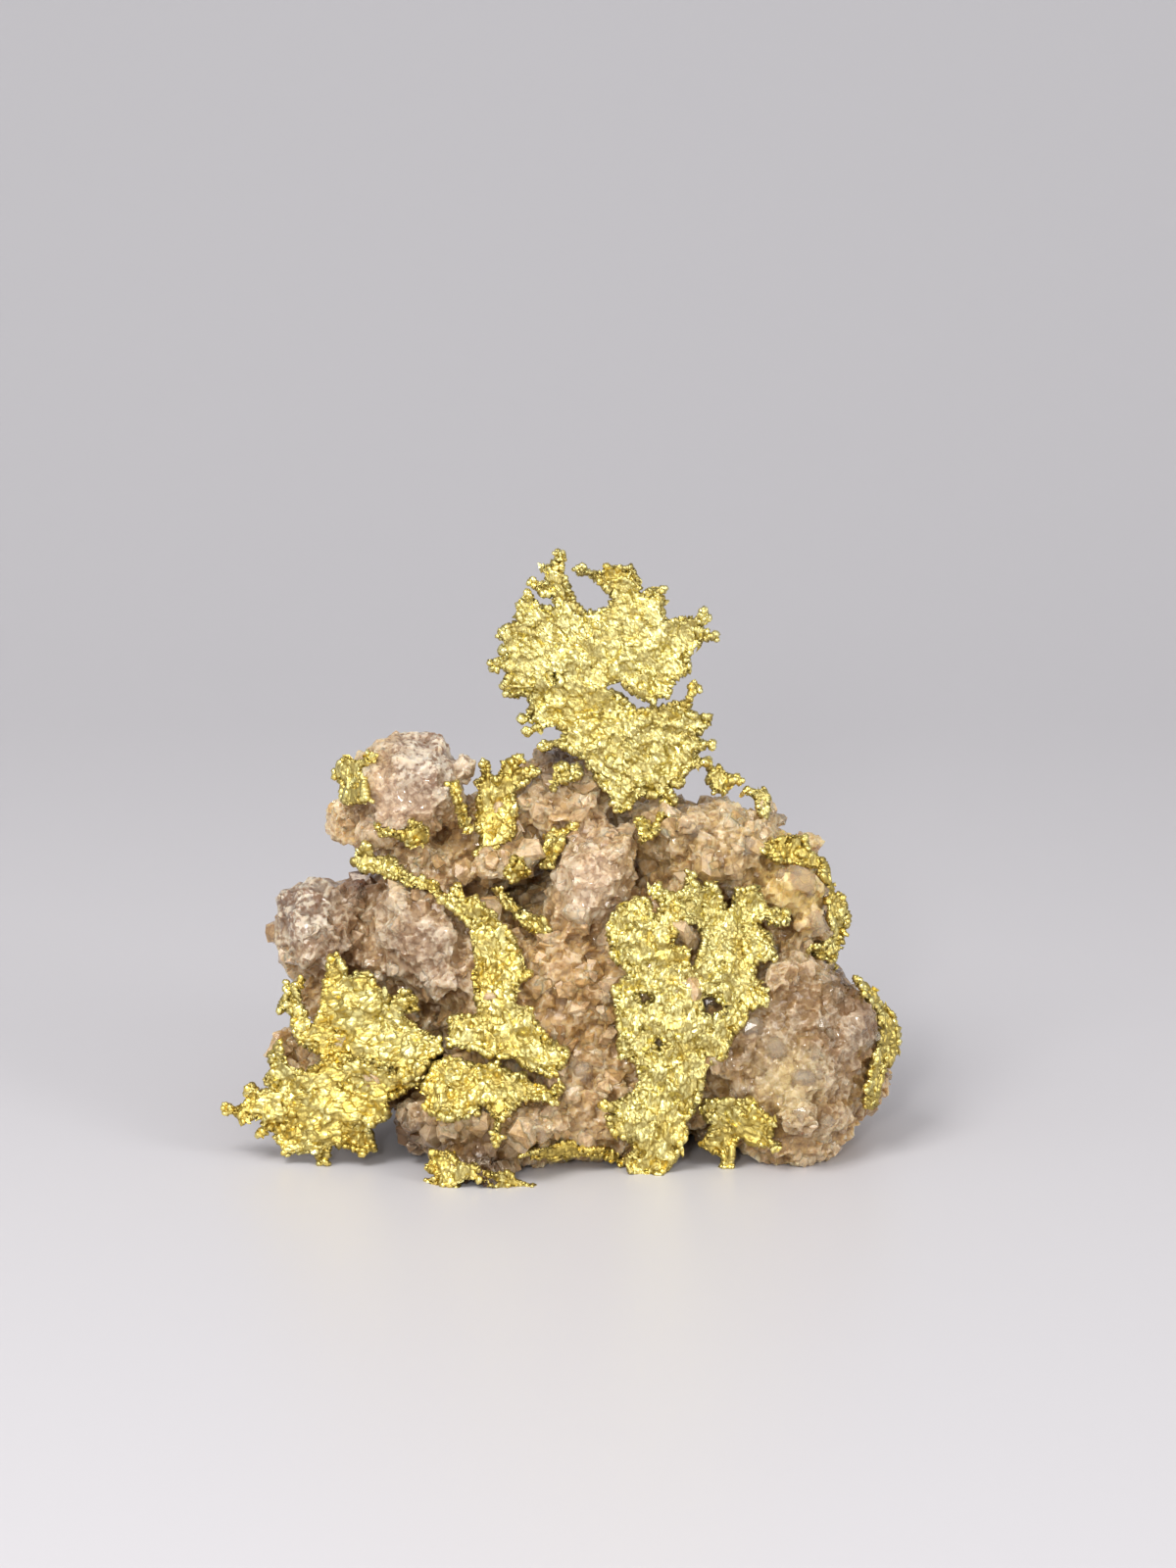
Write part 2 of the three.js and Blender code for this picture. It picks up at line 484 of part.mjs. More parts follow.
// A crinkled sheet over a leaf's outline, as a function of its thickness, and its depth near a point
function sheetOf(leaf, depthOfQuartz, seed) {
  const random = randomFrom(seed);
  const grid = gridOver(leaf);
  const depths = leafDepths(leaf, grid, depthOfQuartz).map((depth) => depth - CRINKLE * random());
  const depthNear = (x, z) => depths[grid.nearest(x, z)];
  const slab = (thickness) => {
    const sheet = new THREE.BoxGeometry(grid.size.x, grid.size.y, thickness, grid.columns, grid.rows, 1);
    const centre = grid.box.getCenter(new THREE.Vector2());
    sheet.rotateX(Math.PI / 2).translate(centre.x, 0, centre.y);
    const place = sheet.getAttribute("position");
    for (let k = 0; k < place.count; k++) {
      place.setY(k, place.getY(k) + depthNear(place.getX(k), place.getZ(k)));
    }
    return solidOf(sheet);
  };
  return { slab, depthNear };
}

const anticlockwise = (points) => (THREE.ShapeUtils.isClockWise(points) ? points.reverse() : points);

const cornersOf = (outline) => anticlockwise(outline.map((point) => new THREE.Vector2(...point)));

// A prism along the line of sight with a leaf's outline and holes
function outlinePrism({ outline, holes = [] }) {
  const shape = new THREE.Shape(cornersOf(outline));
  shape.holes = holes.map((hole) => new THREE.Path(cornersOf(hole)));
  const prism = new THREE.ExtrudeGeometry(shape, { depth: 2 * REACH, bevelEnabled: false });
  return solidOf(prism.rotateX(Math.PI / 2).translate(0, REACH, 0));
}

// Octahedral knobs on the sharp tips of a leaf
function tipKnobs({ outline }, depthNear, seed) {
  const random = randomFrom(seed);
  const corners = cornersOf(outline);
  const isTip = (corner, k) => {
    const back = corners.at(k - 1).clone().sub(corner);
    const on = corners[(k + 1) % corners.length].clone().sub(corner);
    return on.cross(back) > 0 && on.angleTo(back) < KNOB_ANGLE;
  };
  return corners.filter(isTip).map(({ x, y: z }) => {
    const knob = new THREE.OctahedronGeometry(between(KNOB_RADIUS, random()));
    knob.rotateX(Math.PI * random()).rotateY(Math.PI * random());
    return solidOf(knob.translate(x, depthNear(x, z), z));
  });
}

// Builds the leaves in order. Each is cut clear of the quartz and of the leaves before it.
function leafMeshes(quartzWithClearance, depthOfQuartz) {
  const taken = [quartzWithClearance, underground()];
  return LEAVES.map((leaf, k) => {
    const { slab, depthNear } = sheetOf(leaf, depthOfQuartz, 40 + k);
    const prism = outlinePrism(leaf);
    const knobs = tipKnobs(leaf, depthNear, 70 + k);
    const whole = join([slab(LEAF_THICKNESS).intersect(prism), ...knobs]);
    const body = largestBody(taken.reduce((rest, solid) => rest.subtract(solid), whole));
    taken.push(join([slab(LEAF_THICKNESS + 2 * CLEARANCE).intersect(prism), ...knobs]));
    return meshOf(leaf.name, body, GOLD);
  });
}

const specimen = new THREE.Group();
const quartz = quartzSolid();
specimen.add(meshOf("quartz_matrix", quartz, QUARTZ));
specimen.add(...leafMeshes(quartzSolid(CLEARANCE), depthProbe(quartz)));

// Turn the sight frame upright, and put the origin under the middle of the bounding box
specimen.rotation.x = -SIGHT_TILT;
specimen.updateMatrixWorld(true);
const extent = new THREE.Box3().setFromObject(specimen, true);
const middle = extent.getCenter(new THREE.Vector3());
specimen.position.set(-middle.x, -middle.y, -extent.min.z);

const part = new THREE.Group();
part.add(specimen);

export default part;
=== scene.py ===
"""The looks of the leaf gold specimen: granular quartz, crinkled gold leaves and their stage."""

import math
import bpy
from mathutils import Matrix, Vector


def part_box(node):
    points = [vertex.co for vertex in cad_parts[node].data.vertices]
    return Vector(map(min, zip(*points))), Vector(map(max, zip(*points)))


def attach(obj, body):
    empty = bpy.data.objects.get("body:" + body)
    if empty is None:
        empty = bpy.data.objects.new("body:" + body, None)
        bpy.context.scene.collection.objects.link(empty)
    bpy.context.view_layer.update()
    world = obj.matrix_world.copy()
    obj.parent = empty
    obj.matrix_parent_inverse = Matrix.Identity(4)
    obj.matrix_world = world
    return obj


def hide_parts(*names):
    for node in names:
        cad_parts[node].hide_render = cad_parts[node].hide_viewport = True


bl_info = {
    "name": "Leaf Gold Specimen",
    "version": (1, 0, 0),
    "blender": (4, 5, 0),
    "location": "3D View > Sidebar > Specimen",
    "description": "Dresses the specimen's solids as quartz and crystallised gold",
    "category": "Add Mesh",
}

import bmesh
import bpy
import numpy as np
from bpy.props import FloatProperty, FloatVectorProperty, IntProperty, PointerProperty
from mathutils import Euler, Matrix, Vector, kdtree, noise
from mathutils.bvhtree import BVHTree

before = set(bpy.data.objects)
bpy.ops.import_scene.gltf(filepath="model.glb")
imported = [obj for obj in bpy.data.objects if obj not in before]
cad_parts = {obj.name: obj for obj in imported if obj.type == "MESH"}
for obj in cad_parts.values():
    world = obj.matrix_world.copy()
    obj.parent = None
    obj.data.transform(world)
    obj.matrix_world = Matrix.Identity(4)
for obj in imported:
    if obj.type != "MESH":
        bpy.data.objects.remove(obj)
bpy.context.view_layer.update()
MM = 0.001
QUARTZ_NODE = "quartz_matrix"
LEAF_NODES = sorted(set(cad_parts) - {QUARTZ_NODE})

# Points closer than this are one point, and a length that is added so that none is zero
SAME_POINT = 1e-4 * MM
TINY = 1e-9

# Lengths without MM, here and below, are in millimetres
# The line of sight looks down on the best face; its origin is the zero point of the picture plane
SIGHT_TILT = math.radians(13)
SIGHT_ORIGIN = np.array((0.506, -1.544, 0.0))
SIGHT = np.array((0.0, math.cos(SIGHT_TILT), -math.sin(SIGHT_TILT)))
SIGHT_START = -40

# Soft noise: the step from one seed to the next, then its roughness, its layers' ratio and their number
NOISE_STEP = (17.3, 5.1, 9.7)
NOISE_LAYERS = (0.7, 2.0, 3)
ROCK_NOISE = 1
LEAF_NOISE = 3

# Seeds of the random numbers: the quartz, and the first leaf
QUARTZ_SEED = 11
GOLD_SEED = 50

# How smooth and how mottled plain quartz is
PLAIN_FINISH = {"smooth": 0.0, "mottled": 0.2}


def patch_of(at, radius, tint, **finish):
    """A patch of the quartz: its middle in X and Z on the front, its radius, colour and finish."""
    return {"at": at, "radius": radius, "tint": tint, **PLAIN_FINISH, **finish}


PATCHES = {
    "upper left cheek": patch_of((-5.0, 10.9), 1.6, (0.47, 0.32, 0.20), smooth=0.8),
    "upper left frost": patch_of((-4.0, 12.3), 1.4, (0.42, 0.33, 0.25), smooth=0.9, mottled=1),
    "left lump": patch_of((-8.1, 7.5), 1.7, (0.265, 0.205, 0.158), smooth=0.8, mottled=0.9),
    "left lump foot": patch_of((-7.1, 6.0), 1.1, (0.24, 0.14, 0.075)),
    "left wedge": patch_of((-4.3, 6.6), 2.0, (0.31, 0.20, 0.115), smooth=0.7, mottled=0.4),
    "centre ridge": patch_of((0.9, 8.7), 1.5, (0.54, 0.38, 0.235), smooth=0.8, mottled=0.4),
    "centre hollow": patch_of((0.4, 5.3), 2.0, (0.50, 0.30, 0.105)),
    "right shoulder": patch_of((4.5, 9.5), 2.4, (0.48, 0.32, 0.128)),
    "honey block": patch_of((7.2, 8.1), 1.4, (0.76, 0.53, 0.17), smooth=0.9, mottled=0),
    "right block": patch_of((7.3, 3.6), 3.0, (0.24, 0.14, 0.052), smooth=0.82, mottled=0.15),
    "right flank": patch_of((9.6, 4.2), 1.5, (0.19, 0.1, 0.04), smooth=0.85, mottled=0),
    "honey foot": patch_of((6.9, 2.8), 1.2, (0.48, 0.35, 0.15), smooth=0.8, mottled=0),
    # Painted shade in the saddle between the left lump and the wedge
    "painted shade in the saddle": patch_of((-6.3, 8.3), 0.9, (0.15, 0.08, 0.055), mottled=-0.5),
    "dark crest": patch_of((-0.1, 12.0), 1.1, (0.09, 0.047, 0.022), mottled=-0.5),
    "dark brow": patch_of((9.1, 5.8), 1.0, (0.06, 0.03, 0.014), mottled=-0.5),
    # Painted shadow under the ledge and at its end
    "painted shadow at the ledge end": patch_of((-4.9, 1.0), 1.2, (0.11, 0.06, 0.028), mottled=-0.3),
    "painted shadow under the ledge": patch_of((-2.4, 0.3), 1.5, (0.06, 0.03, 0.013), mottled=-0.5),
}

# A patch fades out at this many radii, and lies only on the front, ahead of this place in Y
PATCH_FADE = 1.35
PATCH_BACK = 3.5

# The quartz: how much of its roughness a smooth patch loses, and how far its surface is set in
SMOOTHING = 0.8
ROCK_SETBACK = 0.04
SHARP_EDGE = math.radians(32)

# Smoothing passes that tell wide hollows and narrow ones
WIDE_HOLLOW = 60
NARROW_HOLLOW = 8

# How far a grain face may lift the surface, and how deep the grooves beside it are
GRAIN_LIFT = 0.14
GRAIN_GROOVE = 0.05
FINE_LIFT = 0.04
FINE_GROOVE = 0.03

# Loose grains: their cover, the smallest, what chance adds, and the share that is sunk in the rock
GRAIN_COVER = 1.05
GRAIN_LEAST = 0.3
GRAIN_EXTRA = 0.7
SMOOTH_EXTRA_LOSS = 0.6
GRAIN_SINK = 0.33
SMOOTH_SINK = 0.1
UNEVEN = (0.75, 0.5)
CORNER_JITTER = 0.3

# Clear grains: their sizes, their sinking, and where they begin and are at full strength in X
CLEAR_SIZE = (0.3, 0.35)
CLEAR_SINK = 0.2
CLEAR_FROM = -1
CLEAR_FULL = 3
CLEAR_LOWEST = 0.6
CLEAR_HOLLOW = 0.02

# Sizes in the quartz's finish, and how far light spreads inside the rock and inside a loose grain
QUARTZ_CLOUD = 0.9 * MM
QUARTZ_SPECK = 0.17 * MM
QUARTZ_FINE = 0.06 * MM
QUARTZ_FACET = 0.27 * MM
QUARTZ_IOR = 1.54
ROCK_SPREAD = 0.55 * MM
GRAIN_SPREAD = 0.15 * MM

# The leaves of pale gold with fine ripples; the others are deeper in colour, with coarser ones
PALE_LEAVES = ("crown_leaf", "centre_leaf")
COARSER = 1.45
DEEPER = 0.16

# Sizes in the gold's finish, and the heights between which it turns paler
GOLD_CLOUD = 1.6 * MM
GOLD_FINE = 0.09 * MM
GOLD_FACET = 0.13 * MM
GOLD_STRETCH = 2.0
GOLD_LOW = 0.5 * MM
GOLD_HIGH = 4.5 * MM
FACET_LEAN = (0, -0.5, 0)

# A leaf's crumples are pushed forward by this share of their depth
CRUMPLE_FORWARD = 0.25

# A leaf's rim is where the surface bends by this much over so many smoothing passes
RIM_PASSES = 16
RIM_BEND = 0.06

# The width of the notches in the rim, and how much more they eat in than stand out
FRAY_SIZE = 0.22
FRAY_IN = 0.25

# Faces that a leaf is broken into: tilt, most lift, and the depth and reach of the grooves between them
PLATES = {"tilt": 0.25, "limit": 0.07, "groove": 0.02}
RIPPLES = {"tilt": 0.15, "limit": 0.03, "groove": 0.045, "reach": 0.8}
GROOVE_REACH = 0.35

# Least lean between a face and the surface, and how far faces are drawn out along the growth
LEAST_LEAN = 0.35
GROWTH_SQUEEZE = 0.62

# A leaf is pressed onto the quartz until this share of its nearest points is in it
SEAT_SHARE = 0.08

# The nearest points lie within this much of the smallest gap, and a gap wider than the most stays open
SEAT_BAND = 0.75
SEAT_MOST = 1.7

# One in so many of the points that face away from the viewer by this much is measured
SEAT_STEP = 7
SEAT_FACING = 0.3

# Scales of gold: the least and what chance adds, as shares of a length or, for the depth, in millimetres
SCALE_LENGTH = (0.65, 0.8)
SCALE_WIDTH = (0.36, 0.2)
SCALE_DEPTH = (0.07, 0.05)
SCALE_TILT = 0.13

# Scales branch off the growth at this angle, give or take, and are smaller on the rim
BRANCH_ANGLE = math.radians(60)
BRANCH_SPREAD = 0.2
RIM_START = 0.3
RIM_SHRINK = 0.5

# Teeth on the rim: the least and what chance adds, as a share of their length, or in millimetres
TOOTH_LENGTH = (0.6, 0.9)
TOOTH_WIDTH = (0.2, 0.13)
TOOTH_FLATNESS = 0.8
TOOTH_LEAN = 0.35
RIM_FLOOR = 1e-6

# Where some leaves' crystals fan out from, as shares of the leaf's box in X, Y and Z
FAN_ROOTS = {
    "crown_leaf": (1.1, 0.5, -0.2),
    "left_fan": (1.2, 0.5, 0.6),
    "left_wing": (1.1, 0.5, 0.5),
    "centre_leaf": (0.45, 0.5, -0.5),
    "apron_leaf": (0.5, 0.5, 1.3),
    "middle_vein": (0.3, 0.5, 1.3),
    "foot_leaf": (-0.3, 0.5, 1.1),
}
USUAL_ROOT = (0.5, 0.5, -0.3)

# Larger see-through grains: across and up in the picture plane, size across, in and up, and turn
LARGE_GRAINS = (
    {"at": (5.3, 3.75), "size": (0.9, 0.7, 1.0), "turn": 0.2},
    {"at": (6.05, 3.1), "size": (0.8, 0.6, 0.95), "turn": -0.4},
    {"at": (4.0, 4.5), "size": (0.6, 0.5, 0.7), "turn": 0.1},
    {"at": (6.9, 2.2), "size": (1.1, 0.7, 0.9), "turn": 0.5},
    {"at": (7.4, 6.9), "size": (0.8, 0.6, 1.0), "turn": -0.3},
    {"at": (6.9, 8.3), "size": (1.2, 0.8, 0.9), "turn": 0.6},
    {"at": (-1.15, 0.65), "size": (0.42, 0.42, 1.0), "turn": -0.35},
    {"at": (0.1, 2.4), "size": (0.8, 0.6, 0.9), "turn": 0.3},
    {"at": (5.2, 9.3), "size": (0.7, 0.6, 0.8), "turn": 0.9},
    {"at": (3.6, 9.9), "size": (0.6, 0.5, 0.7), "turn": -0.7},
)

# The floor curves up into a backdrop
COVE_REACH = 1.5
COVE_START = 60 * MM
COVE_RADIUS = 150 * MM
COVE_STEPS = 24
FLOOR_ROUGHNESS = 0.4

# Soft lamps: place and width in millimetres, and power in watts
LAMPS = {
    "key": {"place": (-60, -80, 130), "width": 70, "power": 0.17},
    "fill": {"place": (110, -80, 70), "width": 50, "power": 0.06},
    "front": {"place": (-20, -160, 60), "width": 16, "power": 0.08},
}
LAMP_AIM = Vector((0, 0, 8 * MM))
SKY_COLOUR = (0.95, 0.97, 1.0, 1.0)
SKY_STRENGTH = 0.88
CLIP_START = 1 * MM

# Sockets of a Mix node for colours, by number, and the middle of a colour that varies
MIX_SHARE, MIX_FIRST, MIX_SECOND, MIX_RESULT = 0, 6, 7, 2
MID_GREY = (0.5, 0.5, 0.5)


class QuartzSettings(bpy.types.PropertyGroup):
    """Sizes and colours of the quartz."""

    voxel: FloatProperty(
        name="Mesh size", description="Edge length of the quartz mesh", default=0.115 * MM, unit="LENGTH"
    )
    lump_size: FloatProperty(
        name="Lump size", description="Width of the soft swellings", default=1.3 * MM, unit="LENGTH"
    )
    lump_depth: FloatProperty(
        name="Lump depth", description="Height of the soft swellings", default=0.16 * MM, unit="LENGTH"
    )
    grain_size: FloatProperty(
        name="Grain size", description="Width of the broken grain faces", default=0.5 * MM, unit="LENGTH"
    )
    grain_tilt: FloatProperty(
        name="Grain tilt", description="How far grain faces turn from the surface", default=0.4
    )
    loose_grains: IntProperty(name="Loose grains", description="Number of small grains", default=3200)
    clear_grains: IntProperty(name="Clear grains", description="Number of clear grains", default=220)
    body: FloatVectorProperty(
        name="Body", description="Colour of plain quartz", subtype="COLOR", default=(0.56, 0.36, 0.15)
    )
    # The colour of the painted shade in the crevices
    painted_crevice_shade: FloatVectorProperty(
        name="Painted crevice shade", description="Colour of crevices", subtype="COLOR", default=(0.19, 0.085, 0.026)
    )
    stain: FloatVectorProperty(
        name="Stain", description="Colour of rusty specks", subtype="COLOR", default=(0.17, 0.085, 0.045)
    )
    frost: FloatVectorProperty(
        name="Frost", description="Colour of broken edges", subtype="COLOR", default=(0.68, 0.585, 0.45)
    )


class GoldSettings(bpy.types.PropertyGroup):
    """Sizes and colours of the gold leaves."""

    voxel: FloatProperty(
        name="Mesh size", description="Edge length of the leaf mesh", default=0.038 * MM, unit="LENGTH"
    )
    crumple_size: FloatProperty(
        name="Crumple size", description="Width of the soft crumples", default=1.3 * MM, unit="LENGTH"
    )
    crumple_depth: FloatProperty(
        name="Crumple depth", description="Height of the soft crumples", default=0.3 * MM, unit="LENGTH"
    )
    scale_spacing: FloatProperty(
        name="Scale spacing", description="Between the crystal scales", default=0.27 * MM, unit="LENGTH"
    )
    scale_length: FloatProperty(
        name="Scale length", description="Length of a crystal scale", default=0.3 * MM, unit="LENGTH"
    )
    tooth_length: FloatProperty(
        name="Tooth length", description="Length of a tooth on the rim", default=0.27 * MM, unit="LENGTH"
    )
    thinning: FloatProperty(
        name="Thinning", description="Taken off each side of the solid", default=0.06 * MM, unit="LENGTH"
    )
    plate_size: FloatProperty(
        name="Plate size", description="Width of the growth plates", default=0.42 * MM, unit="LENGTH"
    )
    ripple_size: FloatProperty(
        name="Ripple size", description="Width of the ripples", default=0.19 * MM, unit="LENGTH"
    )
    scale_share: FloatProperty(
        name="Scale share", description="Share of the scales kept away from the rim", default=0.04
    )
    fray_depth: FloatProperty(
        name="Fray depth", description="Depth of the notches in the rim", default=0.3 * MM, unit="LENGTH"
    )
    rim_teeth: FloatProperty(
        name="Rim teeth", description="Rounded teeth for each square millimetre", default=1.6
    )
    bright: FloatVectorProperty(
        name="Bright", description="Colour of clean gold", subtype="COLOR", default=(0.95, 0.86, 0.37)
    )
    rich: FloatVectorProperty(
        name="Rich", description="Colour of deeper gold", subtype="COLOR", default=(0.91, 0.71, 0.185)
    )
    # The colour of the painted shade in the grooves and seams between the crystal faces
    painted_crease_shade: FloatVectorProperty(
        name="Painted crease shade", description="Colour in the creases", subtype="COLOR", default=(0.32, 0.22, 0.045)
    )


class StageSettings(bpy.types.PropertyGroup):
    """The floor, the lights and the camera."""

    floor: FloatVectorProperty(
        name="Floor", description="Colour of the floor", subtype="COLOR", default=(0.54, 0.52, 0.53)
    )
    aim: FloatVectorProperty(
        name="Aim",
        description="Point in the middle of the picture",
        subtype="TRANSLATION",
        unit="LENGTH",
        default=(0.81 * MM, -0.656 * MM, 11.36 * MM),
    )
    distance: FloatProperty(
        name="Distance", description="From the camera to the aim", default=150 * MM, unit="LENGTH"
    )
    picture_height: FloatProperty(
        name="Picture height", description="Its height at the aim", default=48.5 * MM, unit="LENGTH"
    )


class Term:
    """A shader socket that can be used in sums."""

    def __init__(self, shader, socket):
        self.shader = shader
        self.socket = socket

    def math(self, operation, first, second):
        return self.shader.node("ShaderNodeMath", {"operation": operation}, {0: first, 1: second})

    def __add__(self, other):
        return self.math("ADD", self, other)

    def __sub__(self, other):
        return self.math("SUBTRACT", self, other)

    def __rsub__(self, other):
        return self.math("SUBTRACT", other, self)

    def __mul__(self, other):
        return self.math("MULTIPLY", self, other)

    __radd__ = __add__
    __rmul__ = __mul__


class Shader:
    """A material and the nodes in it."""

    def __init__(self, name):
        self.material = bpy.data.materials.new(name)
        self.material.use_nodes = True
        self.tree = self.material.node_tree
        self.tree.nodes.clear()

    def node(self, kind, settings=None, sockets=None, output=0):
        """Adds a node, sets it up, fills its sockets with values or links, and gives one output."""
        made = self.tree.nodes.new(kind)
        for key, value in (settings or {}).items():
            setattr(made, key, value)
        for key, value in (sockets or {}).items():
            if isinstance(value, Term):
                self.tree.links.new(value.socket, made.inputs[key])
            else:
                made.inputs[key].default_value = value
        return Term(self, made.outputs[output]) if made.outputs else None

    def attribute(self, name, output="Fac"):
        return self.node("ShaderNodeAttribute", {"attribute_name": name}, output=output)

    def place(self):
        return self.node("ShaderNodeTexCoord", output="Object")

    def height(self):
        return self.node("ShaderNodeSeparateXYZ", {}, {"Vector": self.place()}, output="Z")

    def cloud(self, size, detail=3.0):
        """Soft noise with features of about the given size, from 0 to 1."""
        sockets = {"Vector": self.place(), "Scale": 1 / size, "Detail": detail}
        return self.node("ShaderNodeTexNoise", {}, sockets)

    def vector(self, operation, first, second, output=0):
        return self.node("ShaderNodeVectorMath", {"operation": operation}, {0: first, 1: second}, output)

    def warped(self, size, reach):
        """Object coordinates pushed about by noise, so that no pattern runs straight."""
        sockets = {"Vector": self.place(), "Scale": 1 / size}
        push = self.node("ShaderNodeTexNoise", {}, sockets, output="Color")
        push = self.vector("SUBTRACT", push, MID_GREY)
        push = self.vector("MULTIPLY", push, (reach, reach, reach))
        return self.vector("ADD", self.place(), push)

    def facets(self, size, stretch=1.0):
        """Small crystal faces: their height, each tilted its own way, and the inset from their edge."""
        warped = self.warped(2 * size, size)
        sockets = {"Vector": warped, "Rotation": FACET_LEAN, "Scale": (1, 1, stretch)}
        place = self.node("ShaderNodeMapping", {"vector_type": "TEXTURE"}, sockets)
        sockets = {"Vector": place, "Scale": 1 / size}
        middle = self.node("ShaderNodeTexVoronoi", {}, sockets, output="Position")
        lean = self.node("ShaderNodeTexVoronoi", {}, sockets, output="Color")
        inset = self.node("ShaderNodeTexVoronoi", {"feature": "DISTANCE_TO_EDGE"}, sockets)
        lean = self.vector("SUBTRACT", lean, MID_GREY)
        height = self.vector("DOT_PRODUCT", self.vector("SUBTRACT", place, middle), lean, output="Value")
        return height, inset

    def ease(self, value, low, high):
        """0 below low, 1 above high, and smooth between."""
        sockets = {"Value": value, "From Min": low, "From Max": high}
        return self.node("ShaderNodeMapRange", {"interpolation_type": "SMOOTHSTEP"}, sockets)

    def blend(self, share, first, second):
        """A colour between two, by share."""
        sockets = {MIX_SHARE: share, MIX_FIRST: first, MIX_SECOND: second}
        return self.node("ShaderNodeMix", {"data_type": "RGBA"}, sockets, output=MIX_RESULT)

    def bump(self, height, depth, strength=1.0):
        sockets = {"Height": height, "Distance": depth, "Strength": strength}
        return self.node("ShaderNodeBump", {}, sockets)

    def surface(self, **sockets):
        """Ends the tree in a Principled shader with these sockets."""
        named = {key.replace("_", " "): value for key, value in sockets.items()}
        shader = self.node("ShaderNodeBsdfPrincipled", {}, named)
        self.node("ShaderNodeOutputMaterial", {}, {"Surface": shader})
        return self.material


def sight_place(across, deep, up):
    """A place given across, along and up from the line of sight, turned into the specimen's frame."""
    back = math.cos(SIGHT_TILT) * deep + math.sin(SIGHT_TILT) * up
    high = math.cos(SIGHT_TILT) * up - math.sin(SIGHT_TILT) * deep
    return np.array((across, back, high)) + SIGHT_ORIGIN


def colour(rgb):
    return (*rgb, 1.0)


def merged_copy(node):
    """A copy of a solid's mesh with its loose triangles joined up."""
    work = bmesh.new()
    work.from_mesh(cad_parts[node].data)
    bmesh.ops.remove_doubles(work, verts=work.verts, dist=SAME_POINT)
    mesh = bpy.data.meshes.new(node)
    work.to_mesh(mesh)
    work.free()
    return mesh


def evenly_meshed(mesh, voxel):
    """A new mesh of the same solid, made of even small squares."""
    solid = bpy.data.objects.new("even", mesh)
    bpy.context.collection.objects.link(solid)
    remesh = solid.modifiers.new("even", "REMESH")
    remesh.mode = "VOXEL"
    remesh.voxel_size = voxel
    shown = solid.evaluated_get(bpy.context.evaluated_depsgraph_get())
    even = bpy.data.meshes.new_from_object(shown)
    bpy.data.objects.remove(solid)
    bpy.data.meshes.remove(mesh)
    return even


